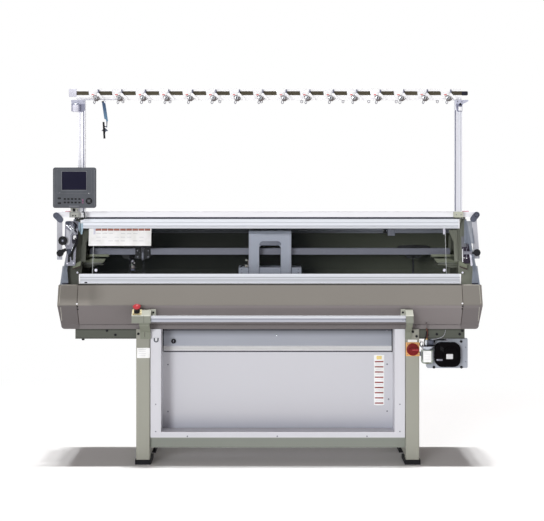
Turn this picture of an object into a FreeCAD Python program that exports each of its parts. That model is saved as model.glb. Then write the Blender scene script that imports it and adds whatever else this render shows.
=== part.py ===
"""Flat knitting machine: two needle beds in a V, a cam carriage that straddles them under a hinged
window, yarn feeders on four rails, a yarn stand above and a leg stand below.

Millimetres, x to the right, y away from the operator, z up.  While modelling, x = 0 is the middle of the
beds, y = 0 is the ridge of the front cover and z = 0 is the floor.  The finished pieces are moved together
so that the frame's origin is the middle of the floor under the whole machine.
"""
import FreeCAD, Part
import math
import os

V = FreeCAD.Vector
AXIS_X, AXIS_Y, AXIS_Z = V(1, 0, 0), V(0, 1, 0), V(0, 0, 1)

# ---- clearances and sheet gauges -------------------------------------------------------------------
RUNNING = 0.06          # radial clearance of a pin in its bore
SLIDE_GAP = 0.5         # between a sliding piece and what guides it
SEAM = 1.0              # gap between two covers
SHEET = 3.0             # cover sheet
THIN = 2.0              # light sheet

# ---- the V of the beds and the covers round it -----------------------------------------------------
GAP_Y = 330.0           # needle gap, the plane of symmetry of beds and covers
MAIN_HALF = 1052.0      # half length of the long covers, rails and window
END_COVER = 108.0       # length of an end cover beyond the long covers
END_HALF = MAIN_HALF + END_COVER
END_TAPER = 10.0        # how far the end covers draw in at their foot
BED_FLOOR = 745.0       # underside of the covers, top of the stand
COVER_TOP = 993.0
COVER_TOP_Y = 56.0
RIDGE_Z = 884.0
JOINT_Y = 105.0         # foot of the sloping lower facet
JOINT_Z = 770.0
PAN_Y = 109.0           # front of the belly pan
PAN_LIP = 19.0
FRAME_WALL = 12.0       # cast end frame
BED_HALF = MAIN_HALF - 452.0
BED_WIDTH = 150.0       # along the slope
BED_PEAK = 1028.0
BED_PLATE = 20.0
NEEDLE_GAP = 8.0
NEEDLE_SLOTS = 84
SLOT_DEPTH = 4.0
FABRIC_SLOT = 40.0      # the way down between the castings
CASTING_FACE = 130.0    # casting's outer face from the gap plane
CAST_WALL = 14.0
CAST_ROOMS = 8          # hollows along a casting
GUIDE = 20.0            # square guide rail of the carriage
GUIDE_TOP = 880.0

# ---- window ----------------------------------------------------------------------------------------
WINDOW_Y = 82.0         # front of the handle rail
RAIL_BOTTOM = 995.0
RAIL_TALL = 55.0
RAIL_DEEP = 22.0
TOP_RAIL_Y = 152.0
TOP_RAIL_Z = 1298.0
TOP_RAIL_TALL = 53.0
TOP_RAIL_DEEP = 24.0
PANE = 4.0
PANE_LEFT = -MAIN_HALF + 74.0
PANE_RIGHT = MAIN_HALF - 80.0
PANE_KNOB = 8.0         # radius of the knobs that hold the pane
WINDOW_PIN = 5.0        # radius
WINDOW_PIN_Y = 166.0
WINDOW_PIN_Z = 1342.0

# ---- table and yarn stand --------------------------------------------------------------------------
TABLE_LEFT = -MAIN_HALF - 132.0
TABLE_RIGHT = MAIN_HALF + 94.0
TABLE_FRONT = 140.0
TABLE_DEPTH = 398.0
TABLE_TOP = 1392.0
TABLE_LIP = 31.0
CAP_RADIUS = 16.6
CAP_THICK = 12.0
POST = 40.0
POST_X = MAIN_HALF - 13.5
POST_SLOT = 9.0
SOCKET_WALL = 5.0
BEAM_BOTTOM = 2008.0
BEAM_TALL = 60.0
BEAM_LEFT = -POST_X - 27.0
BEAM_RIGHT = POST_X + 17.5
BEAM_CAP_LEFT = 42.0
BEAM_CAP_RIGHT = 34.0
STRIP_LOW = 26.0        # label strip in the beam's front, from the beam's underside
STRIP_TALL = 22.0
TENSION_COUNT = 16
TENSION_MARGINS = 183.5  # of the beam, outside the first and the last unit
TENSION_FIRST = BEAM_LEFT + 102.5
TENSION_PITCH = (BEAM_RIGHT - BEAM_LEFT - TENSION_MARGINS) / (TENSION_COUNT - 1)

# ---- rails for the yarn feeders --------------------------------------------------------------------
CARRIER_HALF = MAIN_HALF - 40.0
CARRIER_TALL = 34.0
CARRIER_THICK = 8.0
CARRIER_Z = BED_PEAK + 120.0
CARRIER_PITCH = 32.0
FEEDER_TIP_Z = BED_PEAK + 8.0
FEEDER_TIP_PITCH = 4.0
FEEDER_SHOE = 5.0

# ---- carriage --------------------------------------------------------------------------------------
CAM_LENGTH = 350.0
CAM_TOP = BED_PEAK + 51.0
CAM_FACE = 115.0        # visible face from the gap plane
CAM_INNER = 18.0        # inner face from the gap plane
BED_CLEARANCE = 4.0     # upright, over the needle bed
ARCH_WIDTH = 236.0
ARCH_TOP = CAM_TOP + 203.0
ARCH_PLATE = 10.0
ARCH_BEVEL = 17.0
ARCH_OPEN = 122.0
ARCH_OPEN_TOP = ARCH_TOP - 61.0
ARCH_RIB = 15.0

# ---- stand -----------------------------------------------------------------------------------------
LEG = 75.0
LEG_FRONT = 97.0
LEG_BACK = 700.0
LEG_LEFT = -MAIN_HALF + 352.0
LEG_RIGHT = MAIN_HALF - 266.5
LEG_CORNER = 6.0
PAD_TALL = 26.0
PAD_WIDE = 86.0
PAD_LONG = 230.0
PAD_FRONT = 90.0
FOOT_RAIL = 70.0
SIDE_BEAM_HALF = MAIN_HALF + 22.0
TUBE_WALL = 5.0
DRAIN = 5.0             # radius of a drain hole in a closed tube
SIDE_BEAM_TALL = 54.0
CROSS_LOW = 90.0
CROSS_TALL = 54.0
CROSS_DEEP = 50.0
CROSS_FRONT = 120.0

# ---- take-down bay ---------------------------------------------------------------------------------
STILE = 57.0
STILE_GAP = 4.0
STILE_FRONT = 105.0
BAY_DEPTH = 150.0
SILL_TALL = 34.0
PANEL_TOP = 606.0
HINGE_ROD = 2.5         # radius
HINGE_ROLL = 5.0        # radius of the rolled edge round the rod
HINGE_DROP = 8.0        # rod below the belly pan
FLAP_SIDE = 6.0
FLAP_FOOT = 637.0
FLAP_LIP_OUT = 20.0
FLAP_LIP_DOWN = 28.0
LATCH_X = LEG_LEFT + 160.0
LATCH_Z = 665.0
LATCH_KNOB = 13.5       # radius
LATCH_STEM = 5.0        # radius
ROLLER = 27.0           # radius
ROLLER_SHAFT = 10.0     # radius
ROLLER_Y = 358.0
ROLLER_Z = 700.0
BEARING_DEEP = 16.0

# ---- start bar and emergency stop ------------------------------------------------------------------
HEAD_FRONT = -40.0
HEAD_BACK = 12.0
HEAD_LOW = 789.5
HEAD_EDGE = 831.8       # where the front turns into the sloping top
HEAD_HIGH = 864.0
ARM_THICK = 12.0
BAR_Y = -22.0
BAR_Z = 812.0
BAR_TALL = 35.0
BAR_DEEP = 18.0
BAR_PIVOT = 4.0         # radius
STOP_X = LEG_LEFT - 23.5
STOP_STEM = 12.0        # radius
STOP_HEAD = 21.0        # radius
STOP_REACH = 40.0       # head above the sloping top
STOP_TRAVEL = 4.0
STOP_PLATE = 50.0

# ---- main switch, blower and air unit --------------------------------------------------------------
SWITCH_Z = 635.0
SWITCH_PLATE = 75.0
SWITCH_KNOB = 34.0      # radius
BLOWER_LEFT = LEG_RIGHT + 79.5
BLOWER_RIGHT = MAIN_HALF + 44.0
BLOWER_TALL = 166.0
BLOWER_Y = 150.0
BLOWER_PLATE = 8.0
MOTOR_X = (BLOWER_LEFT + BLOWER_RIGHT) / 2
MOTOR_Z = 603.0
MOTOR_RADIUS = 70.0
MOTOR_CORNER = 38.0
MOTOR_LOBE = 6.0
MOTOR_DEEP = 55.0
AIR_X = LEG_RIGHT + 80.5
AIR_Y = 100.0
AIR_RADIUS = 33.0
FITTING_TOP = 690.0     # top of the regulator's inlet
HOSE = 4.0              # radius
HOSE_Y = 95.0           # where the hose leaves the cover

# ---- monitor ---------------------------------------------------------------------------------------
MONITOR_LEFT = TABLE_LEFT + 1.0
MONITOR_WIDE = 233.0
MONITOR_TALL = 221.0
MONITOR_LOW = 1414.5
MONITOR_FRONT = -4.0
MONITOR_DEEP = 40.0
MONITOR_CORNER = 12.0
MONITOR_EDGE = 4.0      # rounding of the case's front edge
SCREEN_WIDE = 132.5
SCREEN_TALL = 99.4
TILT_PIN = 4.0          # radius
TILT_Y = 58.0
TILT_Z = 1436.0
NECK_X = MONITOR_LEFT + 107.0
NECK_WIDE = 38.0

# ---- belt drive ------------------------------------------------------------------------------------
PULLEY_X = MAIN_HALF - 67.0
PULLEY = 36.0           # radius of the belt's inside
PULLEY_Z = 880.0
BELT_Y = 506.0
BELT_WIDE = 25.0
BELT_THICK = 3.0
DRIVE_SHAFT = 8.0       # radius
DRIVE_PLATE = 8.0


# ---- shapes ----------------------------------------------------------------------------------------
def box(x0, x1, y0, y1, z0, z1):
    """Block between two corners."""
    return Part.makeBox(x1 - x0, y1 - y0, z1 - z0, V(x0, y0, z0))


def rod(x, y, z, direction, radius, length):
    """Cylinder from a point along a direction."""
    return Part.makeCylinder(radius, length, V(x, y, z), direction)


def outline(points, radius=0.0):
    """Closed wire through the points, each corner rounded with a tangent arc of its own radius."""
    radii = radius if isinstance(radius, (list, tuple)) else [radius] * len(points)
    edges = []
    starts, ends = [], []
    for i, corner in enumerate(points):
        to_last = (points[i - 1] - corner).normalize()
        to_next = (points[(i + 1) % len(points)] - corner).normalize()
        if radii[i] <= 0:
            starts.append(corner)
            ends.append(corner)
            continue
        half = to_last.getAngle(to_next) / 2
        cut = radii[i] / math.tan(half)
        middle = (to_last + to_next).normalize() * (radii[i] / math.sin(half) - radii[i])
        starts.append(corner + to_last * cut)
        ends.append(corner + to_next * cut)
        edges.append((i, Part.Arc(starts[i], corner + middle, ends[i]).toShape()))
    arcs = dict(edges)
    path = []
    for i in range(len(points)):
        if i in arcs:
            path.append(arcs[i])
        following = (i + 1) % len(points)
        if ends[i].distanceToPoint(starts[following]) > 1e-6:
            path.append(Part.LineSegment(ends[i], starts[following]).toShape())
    return Part.Wire(path)


def along_x(points, x0, x1, radius=0.0):
    """Prism along x of an outline given as (y, z)."""
    return Part.Face(outline([V(x0, y, z) for y, z in points], radius)).extrude(V(x1 - x0, 0, 0))


def along_y(points, y0, y1, radius=0.0):
    """Prism along y of an outline given as (x, z)."""
    return Part.Face(outline([V(x, y0, z) for x, z in points], radius)).extrude(V(0, y1 - y0, 0))


def along_z(points, z0, z1, radius=0.0):
    """Prism along z of an outline given as (x, y)."""
    return Part.Face(outline([V(x, y, z0) for x, y in points], radius)).extrude(V(0, 0, z1 - z0))


def rectangle(a0, a1, b0, b1):
    """Corners of a rectangle."""
    return [(a0, b0), (a1, b0), (a1, b1), (a0, b1)]


def offset_line(points, distance):
    """The open line moved to its left by a distance, its corners mitred."""
    moved = []
    last = len(points) - 1
    for i, (a, b) in enumerate(points):
        normals = []
        for start, end in ((i - 1, i), (i, i + 1)):
            if start < 0 or end > last:
                continue
            run = (points[end][0] - points[start][0], points[end][1] - points[start][1])
            size = math.hypot(*run)
            normals.append((-run[1] / size, run[0] / size))
        if len(normals) == 1:
            normal, reach = normals[0], distance
        else:
            sum_a = normals[0][0] + normals[1][0]
            sum_b = normals[0][1] + normals[1][1]
            size = math.hypot(sum_a, sum_b)
            normal = (sum_a / size, sum_b / size)
            reach = distance / (normal[0] * normals[0][0] + normal[1] * normals[0][1])
        moved.append((a + normal[0] * reach, b + normal[1] * reach))
    return moved


def bent_sheet(points, gauge, x0, x1, bend=0.0):
    """Folded sheet: an open (y, z) line, thickened to its left and run along x, with its bends rounded."""
    inner = offset_line(points, gauge)
    last = len(points) - 1
    near, far = [0.0] * len(points), [0.0] * len(points)
    for i in range(1, last):
        before = (points[i][0] - points[i - 1][0], points[i][1] - points[i - 1][1])
        after = (points[i + 1][0] - points[i][0], points[i + 1][1] - points[i][1])
        left_turn = before[0] * after[1] - before[1] * after[0] > 0
        near[i] = bend + gauge if left_turn else bend
        far[i] = bend if left_turn else bend + gauge
    if bend <= 0:
        near, far = [0.0] * len(points), [0.0] * len(points)
    return along_x(list(points) + inner[::-1], x0, x1, near + far[::-1])


def behind(shape):
    """The same piece on the other side of the needle gap."""
    return shape.mirror(V(0, GAP_Y, 0), AXIS_Y)


def other_end(shape):
    """The same piece at the other end of the machine."""
    return shape.mirror(V(0, 0, 0), AXIS_X)


def join(*shapes):
    """One solid from pieces that touch."""
    return shapes[0].fuse(list(shapes[1:])).removeSplitter()


def group(*shapes):
    """Separate solids in one node."""
    return Part.makeCompound(list(shapes))


# ---- stand -----------------------------------------------------------------------------------------
def leg_frame(middle):
    """Front and rear leg joined by a foot rail and a top rail, all square tube, with a solid block and a
    bearing hole for the roller."""
    x0, x1 = middle - LEG / 2, middle + LEG / 2
    front = along_z(rectangle(x0, x1, LEG_FRONT, LEG_FRONT + LEG), PAD_TALL, BED_FLOOR, LEG_CORNER)
    rear = along_z(rectangle(x0, x1, LEG_BACK - LEG, LEG_BACK), PAD_TALL, BED_FLOOR, LEG_CORNER)
    middle_y = (LEG_FRONT + LEG / 2, LEG_BACK - LEG / 2)
    foot = box(x0 + 5, x1 - 5, *middle_y, PAD_TALL + 4, PAD_TALL + 4 + FOOT_RAIL)
    top = box(x0 + 5, x1 - 5, *middle_y, BED_FLOOR - FOOT_RAIL, BED_FLOOR)
    frame = join(front, rear, foot, top)
    for y in (LEG_FRONT, LEG_BACK - LEG):
        bore = along_z(rectangle(x0 + TUBE_WALL, x1 - TUBE_WALL, y + TUBE_WALL, y + LEG - TUBE_WALL),
                       PAD_TALL - 1, BED_FLOOR + 1)
        frame = frame.cut(bore)
    rail_x = (x0 + 5 + TUBE_WALL, x1 - 5 - TUBE_WALL)
    near, far = LEG_FRONT + LEG, LEG_BACK - LEG
    block = BEARING_DEEP + ROLLER_SHAFT
    for y0, y1, z0 in ((near, far, PAD_TALL + 4), (near, ROLLER_Y - block, BED_FLOOR - FOOT_RAIL),
                       (ROLLER_Y + block, far, BED_FLOOR - FOOT_RAIL)):
        room = box(*rail_x, y0, y1, z0 + TUBE_WALL, z0 + FOOT_RAIL - TUBE_WALL)
        frame = frame.cut(room.fuse(rod(middle, y0 + 30, z0 - 1, AXIS_Z, DRAIN, TUBE_WALL + 2)))
    inner = x1 - 5 if middle < 0 else x0 + 5
    inward = -1 if middle < 0 else 1
    hole = rod(inner, ROLLER_Y, ROLLER_Z, AXIS_X * inward, ROLLER_SHAFT + RUNNING, BEARING_DEEP + 1)
    return frame.cut(hole)


def foot_pads():
    """Four long pads with their upper edges broken."""
    pads = []
    for middle in (LEG_LEFT, LEG_RIGHT):
        for y0 in (PAD_FRONT, LEG_BACK + (LEG_FRONT - PAD_FRONT) + 11 - PAD_LONG):
            shape = [(y0, 0), (y0 + PAD_LONG, 0), (y0 + PAD_LONG, PAD_TALL - 6),
                     (y0 + PAD_LONG - 6, PAD_TALL), (y0 + 6, PAD_TALL), (y0, PAD_TALL - 6)]
            pads.append(along_x(shape, middle - PAD_WIDE / 2, middle + PAD_WIDE / 2))
    return group(*pads)


def leg_inner(side):
    """Inner face of the left (-1) or right (1) leg."""
    return LEG_LEFT + LEG / 2 if side < 0 else LEG_RIGHT - LEG / 2


def tube_x(x0, x1, y0, y1, z0, z1):
    """Square tube along x, open at its ends."""
    wall = TUBE_WALL
    return box(x0, x1, y0, y1, z0, z1).cut(box(x0 - 1, x1 + 1, y0 + wall, y1 - wall, z0 + wall, z1 - wall))


def stand_beams():
    """Beams that reach out under the ends, and rails that cross between the legs."""
    beams = []
    for y0 in (LEG_FRONT + 15, LEG_BACK - LEG - 15):
        z0, z1 = BED_FLOOR - SIDE_BEAM_TALL, BED_FLOOR
        beams.append(tube_x(-SIDE_BEAM_HALF, LEG_LEFT - LEG / 2, y0, y0 + LEG - 15, z0, z1))
        beams.append(tube_x(LEG_RIGHT + LEG / 2, SIDE_BEAM_HALF, y0, y0 + LEG - 15, z0, z1))
    for y0 in (CROSS_FRONT, LEG_BACK - LEG + 12):
        beams.append(tube_x(leg_inner(-1), leg_inner(1), y0, y0 + CROSS_DEEP,
                            CROSS_LOW, CROSS_LOW + CROSS_TALL))
    return group(*beams)


# ---- take-down bay ---------------------------------------------------------------------------------
BAY_LEFT = LEG_LEFT + LEG / 2 + STILE_GAP + STILE
BAY_RIGHT = LEG_RIGHT - LEG / 2 - STILE_GAP - STILE
BAY_BACK = STILE_FRONT + BAY_DEPTH
SILL_LOW = CROSS_LOW + CROSS_TALL
HINGE_Y = BAY_BACK - 7
HINGE_Z = BED_FLOOR - HINGE_DROP


def panel_frame():
    """Two stiles with deep returns, a sill with its ledge, and the rod that the flap hangs on."""
    parts = []
    for edge, side in ((BAY_LEFT, -1), (BAY_RIGHT, 1)):
        face = sorted((edge, edge + side * STILE))
        wall = sorted((edge, edge + side * THIN))
        parts.append(box(*face, STILE_FRONT, STILE_FRONT + THIN, SILL_LOW, BED_FLOOR))
        parts.append(box(*wall, STILE_FRONT, BAY_BACK, SILL_LOW, BED_FLOOR))
        lip = sorted((edge + side * (STILE - THIN), edge + side * STILE))
        parts.append(box(*lip, STILE_FRONT, STILE_FRONT + 14, SILL_LOW, BED_FLOOR))
    sill_top = SILL_LOW + SILL_TALL
    parts.append(box(BAY_LEFT, BAY_RIGHT, STILE_FRONT, STILE_FRONT + THIN, SILL_LOW, sill_top))
    parts.append(box(BAY_LEFT, BAY_RIGHT, STILE_FRONT, BAY_BACK, sill_top - THIN, sill_top))
    parts.append(rod(BAY_LEFT - THIN / 2, HINGE_Y, HINGE_Z, AXIS_X, HINGE_ROD,
                     BAY_RIGHT - BAY_LEFT + THIN))
    return join(*parts)


def chute_panel():
    """Tall panel at the back of the bay, its top and foot turned back."""
    foot = SILL_LOW + SILL_TALL
    line = [(BAY_BACK + 22, foot), (BAY_BACK, foot), (BAY_BACK, PANEL_TOP), (BAY_BACK + 16, PANEL_TOP)]
    return bent_sheet(line, -THIN, BAY_LEFT - THIN, BAY_RIGHT + THIN, 2.0)


def takedown_flap():
    """Flap over the take-down rollers: a rolled edge on the rod, a flat face and a finger lip."""
    x0, x1 = BAY_LEFT + FLAP_SIDE, BAY_RIGHT - FLAP_SIDE
    face_y = HINGE_Y + HINGE_ROLL - THIN
    lip_z = FLAP_FOOT - FLAP_LIP_DOWN
    line = [(face_y, HINGE_Z), (face_y, FLAP_FOOT), (face_y - FLAP_LIP_OUT, lip_z), (face_y, lip_z)]
    roll = rod(x0, HINGE_Y, HINGE_Z, AXIS_X, HINGE_ROLL, x1 - x0)
    flap = join(bent_sheet(line, THIN, x0, x1, 1.0), roll)
    bore = rod(x0 - 1, HINGE_Y, HINGE_Z, AXIS_X, HINGE_ROD + RUNNING, x1 - x0 + 2)
    latch_hole = rod(LATCH_X, HINGE_Y, LATCH_Z, AXIS_Y, LATCH_STEM + RUNNING, 30)
    return flap.cut(bore).cut(latch_hole)


def flap_latch():
    """Round knob in front of the flap, its stem and the tongue behind."""
    face_y = HINGE_Y + HINGE_ROLL - THIN
    knob = rod(LATCH_X, face_y - 10.3, LATCH_Z, AXIS_Y, LATCH_KNOB, 10)
    stem = rod(LATCH_X, face_y - 1, LATCH_Z, AXIS_Y, LATCH_STEM, THIN + 1.5)
    tongue = box(LATCH_X - 6, LATCH_X + 6, face_y + THIN + 0.4, face_y + THIN + 3.4,
                 LATCH_Z - 26, LATCH_Z + 8)
    return join(knob, stem, tongue)


def takedown_roller():
    """Roller with a stepped shaft that turns in the leg frames."""
    inset = 8.0
    left, right = leg_inner(-1) - 5, leg_inner(1) + 5
    shaft = rod(left - BEARING_DEEP, ROLLER_Y, ROLLER_Z, AXIS_X, ROLLER_SHAFT,
                right - left + 2 * BEARING_DEEP)
    drum = rod(left + inset, ROLLER_Y, ROLLER_Z, AXIS_X, ROLLER, right - left - 2 * inset)
    return join(drum, shaft)


# ---- covers ----------------------------------------------------------------------------------------
FRAME_FRONT = PAN_Y + 3  # front edge of the end frames, where the covers' flanges end
COVER_LINE = [(FRAME_FRONT, COVER_TOP), (COVER_TOP_Y, COVER_TOP), (0.0, RIDGE_Z),
              (JOINT_Y, JOINT_Z), (FRAME_FRONT, JOINT_Z)]


def front_cover():
    """Long front cover, folded at its top edge, its ridge and its foot."""
    return bent_sheet(COVER_LINE, SHEET, -MAIN_HALF, MAIN_HALF, 5.0)


def end_profile(grow):
    """Side outline of an end cover, drawn in by a wall."""
    front = [(COVER_TOP_Y, COVER_TOP), (0.0, RIDGE_Z), (JOINT_Y, JOINT_Z), (PAN_Y, BED_FLOOR)]
    rear = [(2 * GAP_Y - y, z) for y, z in front[::-1]]
    ring = front + rear
    if grow == 0:
        return ring
    closed = ring[-1:] + ring + ring[:1]
    return offset_line(closed, grow)[1:-1]


def end_face(x_in, wall):
    """Front outline of the right end cover: upright above the ridge, drawn in below it."""
    foot = END_HALF - END_TAPER
    return [(x_in, BED_FLOOR + wall), (foot - wall, BED_FLOOR + wall), (END_HALF - wall, RIDGE_Z),
            (END_HALF - wall, COVER_TOP - wall), (x_in, COVER_TOP - wall)]


def end_cover():
    """Right end cover: a hollow moulding, open towards the beds."""
    x_in = MAIN_HALF + SEAM
    depth = 2 * GAP_Y
    bends = [6.0, 10.0, 5.0, 3.0, 3.0, 5.0, 10.0, 6.0]
    side = along_x(end_profile(0), x_in, END_HALF + 1, bends)
    shell = side.common(along_y(end_face(x_in, 0), -1, depth + 1, [0, 20.0, 6.0, 6.0, 0]))
    inner = along_x(end_profile(4.0), x_in - 1, END_HALF, [2.0, 6.0, 2.0, 0.5, 0.5, 2.0, 6.0, 2.0])
    pocket = inner.common(along_y(end_face(x_in - 1, 4.0), 0, depth, [0, 16.0, 3.0, 2.0, 0]))
    return shell.cut(pocket)


def end_covers():
    right = end_cover()
    return group(right, other_end(right))


def belly_pan():
    """Shallow pan under the beds with a slot that lets the fabric down."""
    lip = BED_FLOOR + PAN_LIP
    back = 2 * GAP_Y - PAN_Y
    line = [(back, lip), (back, BED_FLOOR), (PAN_Y, BED_FLOOR), (PAN_Y, lip)]
    pan = bent_sheet(line, -SHEET, -MAIN_HALF, MAIN_HALF, 2.0)
    half = FABRIC_SLOT / 2
    slot = box(-BED_HALF, BED_HALF, GAP_Y - half, GAP_Y + half, BED_FLOOR - 1, BED_FLOOR + SHEET + 1)
    return pan.cut(slot)


# ---- end frames and side covers --------------------------------------------------------------------
FRAME_IN = MAIN_HALF - FRAME_WALL
UPPER_TOP = TABLE_TOP - THIN
SIDE_FOOT = END_HALF - 8.0  # half width over the side covers at their foot
SIDE_HEAD = END_HALF - 72.0
SIDE_WALL = 4.0
SLOPE_TOP_Y = 152.0
WEB_BACK = 34.0         # how far the end web lies behind the side cover's front
SHELF = 115.0           # plate inside each end, under the feeder rails
SHELF_FRONT = 156.0
SHELF_BACK = 290.0
SHELF_Z = CARRIER_Z - 52.0


def slope_y(z):
    """Front plane of the upper part at a height."""
    return COVER_TOP_Y + (z - COVER_TOP) * (SLOPE_TOP_Y - COVER_TOP_Y) / (TOP_RAIL_Z + TOP_RAIL_TALL
                                                                         - COVER_TOP)


def end_frame():
    """Right end frame: a cast plate across the beds, an upright web in front and behind, and the ear
    that carries the window's hinge pin."""
    pin_clear = 15.0
    head = TOP_RAIL_Z + TOP_RAIL_TALL
    front = [(FRAME_FRONT, BED_FLOOR + SHEET), (FRAME_FRONT, RAIL_BOTTOM + RAIL_TALL),
             (WINDOW_PIN_Y + pin_clear, TOP_RAIL_Z - 8), (WINDOW_PIN_Y + pin_clear, UPPER_TOP)]
    rear = [(2 * GAP_Y - y, z) for y, z in front[::-1]]
    plate = along_x(front + rear, FRAME_IN, MAIN_HALF)
    low, high = COVER_TOP, head
    web_low, web_high = slope_y(low) + WEB_BACK, slope_y(high) + WEB_BACK
    web = along_x([(web_low, low), (web_low + 6, low), (web_high + 6, high), (web_high, high)],
                  MAIN_HALF, SIDE_FOOT)
    inside = along_y([(MAIN_HALF, low), (SIDE_FOOT - SIDE_WALL - 0.3, low),
                      (SIDE_HEAD - SIDE_WALL - 0.3, high), (MAIN_HALF, high)], 0, 2 * GAP_Y)
    web = web.common(inside)
    ear = box(MAIN_HALF, MAIN_HALF + 8, WINDOW_PIN_Y - 12, WINDOW_PIN_Y + 26,
              WINDOW_PIN_Z - 12, WINDOW_PIN_Z + 12)
    ear = join(ear, box(FRAME_IN, MAIN_HALF + 8, WINDOW_PIN_Y + pin_clear, WINDOW_PIN_Y + 26,
                        WINDOW_PIN_Z - 12, WINDOW_PIN_Z + 12))
    pin = rod(MAIN_HALF - 22, WINDOW_PIN_Y, WINDOW_PIN_Z, AXIS_X, WINDOW_PIN, 30)
    knee, upper = rear[2], rear[1]
    reach = (TOP_RAIL_Z - 46 - knee[1]) / (upper[1] - knee[1])
    end_y = knee[0] + (upper[0] - knee[0]) * reach
    rear_strip = along_x([(knee[0] - 4, COVER_TOP + 1), (knee[0], COVER_TOP + 1), knee,
                          (end_y, TOP_RAIL_Z - 46), (end_y - 4, TOP_RAIL_Z - 46), (knee[0] - 4, knee[1])],
                         FRAME_IN - 14, FRAME_IN)
    shelf = along_x([(SHELF_FRONT, SHELF_Z), (SHELF_BACK, SHELF_Z + 9), (SHELF_BACK, SHELF_Z + 12),
                     (SHELF_FRONT, SHELF_Z + 3)], FRAME_IN - SHELF, FRAME_IN)
    return join(plate, web, behind(web), ear, pin, rear_strip, shelf)


def end_frames():
    """Both end frames; behind the left one a plate carries the drive motor, behind the right one the idler."""
    right = end_frame()
    left = other_end(right)
    carrier = box(PULLEY_X - 55, FRAME_IN, MOTOR_PLATE_Y, MOTOR_PLATE_Y + DRIVE_PLATE,
                  PULLEY_Z - 50, PULLEY_Z + 50)
    idler_pin = rod(PULLEY_X, BELT_Y - 4, PULLEY_Z, AXIS_Y, DRIVE_SHAFT, MOTOR_PLATE_Y - BELT_Y + 5)
    hole = rod(-PULLEY_X, MOTOR_PLATE_Y - 1, PULLEY_Z, AXIS_Y, DRIVE_SHAFT + 4, DRIVE_PLATE + 2)
    return group(join(right, carrier, idler_pin), join(left, other_end(carrier)).cut(hole))


def side_cover():
    """Right side cover: a slanting outer wall with its front and rear edges turned in."""
    low, high = COVER_TOP, TOP_RAIL_Z + TOP_RAIL_TALL
    face = [(slope_y(low), low), (slope_y(high), high)]
    ring = face + [(2 * GAP_Y - y, z) for y, z in face[::-1]]
    wall = along_y([(SIDE_FOOT, low), (SIDE_HEAD, high), (SIDE_HEAD - SIDE_WALL, high),
                    (SIDE_FOOT - SIDE_WALL, low)], 0, 2 * GAP_Y)
    wall = wall.common(along_x(ring, MAIN_HALF, SIDE_FOOT))
    strip = along_y([(SIDE_FOOT, low), (SIDE_HEAD, high), (SIDE_HEAD - 11, high), (SIDE_FOOT - 26, low)],
                    0, 2 * GAP_Y)
    turned = [(slope_y(low), low), (slope_y(high), high), (slope_y(high) + SIDE_WALL, high),
              (slope_y(low) + SIDE_WALL, low)]
    strip = strip.common(along_x(turned, MAIN_HALF, SIDE_FOOT))
    roof = box(SIDE_HEAD - 30, SIDE_HEAD - 1, WINDOW_PIN_Y + 30, 2 * GAP_Y - WINDOW_PIN_Y - 30,
               high - SIDE_WALL, high)
    return join(wall, strip, behind(strip), roof)


def side_covers():
    right = side_cover()
    return group(right, other_end(right))


# ---- beds ------------------------------------------------------------------------------------------
def bed_corners():
    """Front needle bed in section: gap edge, outer edge, and the same below."""
    reach = BED_WIDTH / math.sqrt(2)
    drop = BED_PLATE / math.sqrt(2)
    gap = GAP_Y - NEEDLE_GAP / 2
    outer_y, outer_z = gap - reach, BED_PEAK - reach
    return [(gap, BED_PEAK), (outer_y, outer_z), (outer_y + drop, outer_z - drop),
            (gap, BED_PEAK - 2 * drop)]


def needle_bed():
    """Front needle bed: a sloping plate whose top is cut into needle slots."""
    corners = bed_corners()
    sink = SLOT_DEPTH / math.sqrt(2)
    (gap, peak), (outer_y, outer_z) = corners[0], corners[1]
    plate = along_x([(gap, peak - 2 * sink), (outer_y + sink, outer_z - sink), corners[2], corners[3]],
                    -BED_HALF, BED_HALF)
    pitch = 2 * BED_HALF / NEEDLE_SLOTS
    comb = []
    for i in range(NEEDLE_SLOTS):
        x = -BED_HALF + i * pitch
        comb += [(x, 1.0), (x + pitch * 0.4, 1.0), (x + pitch * 0.4, 0.0), (x + pitch, 0.0)]
    down = V(0, 1, -1).normalize() * SLOT_DEPTH
    top = [V(x, outer_y, outer_z) + down * (1 - share) for x, share in comb]
    low = [V(BED_HALF, outer_y, outer_z) + down * 1.1, V(-BED_HALF, outer_y, outer_z) + down * 1.1]
    ridges = Part.Face(outline(top + low)).extrude(V(0, gap - outer_y, peak - outer_z))
    edge = box(-BED_HALF - 1, BED_HALF + 1, gap, gap + 20, outer_z, peak + 20)
    return plate.fuse(ridges.cut(edge)).removeSplitter()


def needle_beds():
    front = needle_bed()
    return group(front, behind(front))


def bed_casting():
    """Front casting under a needle bed, with the carriage's guide rail on its face; it is cast hollow, open
    below, with ribs across."""
    corners = bed_corners()
    (outer_y, outer_z) = corners[2]
    face = GAP_Y - CASTING_FACE
    wall = GAP_Y - FABRIC_SLOT / 2
    rise = wall - outer_y
    section = [(face, BED_FLOOR + SHEET), (wall, BED_FLOOR + SHEET), (wall, outer_z + rise),
               (outer_y, outer_z), (face, outer_z)]
    casting = along_x(section, -FRAME_IN, FRAME_IN)
    rail = box(-FRAME_IN, FRAME_IN, face - GUIDE, face, GUIDE_TOP - GUIDE, GUIDE_TOP)
    casting = join(casting, rail)
    thick, low = CAST_WALL, BED_FLOOR + SHEET - 1
    under = outer_z - thick * math.sqrt(2)
    pocket = [(face + thick, low), (wall - thick, low), (wall - thick, under + rise - thick),
              (outer_y, under), (face + thick, under)]
    pitch = (2 * FRAME_IN - CAST_WALL) / CAST_ROOMS
    for i in range(CAST_ROOMS):
        start = -FRAME_IN + CAST_WALL + i * pitch
        casting = casting.cut(along_x(pocket, start, start + pitch - CAST_WALL, 4.0))
    return casting


def bed_castings():
    front = bed_casting()
    return group(front, behind(front))


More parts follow.
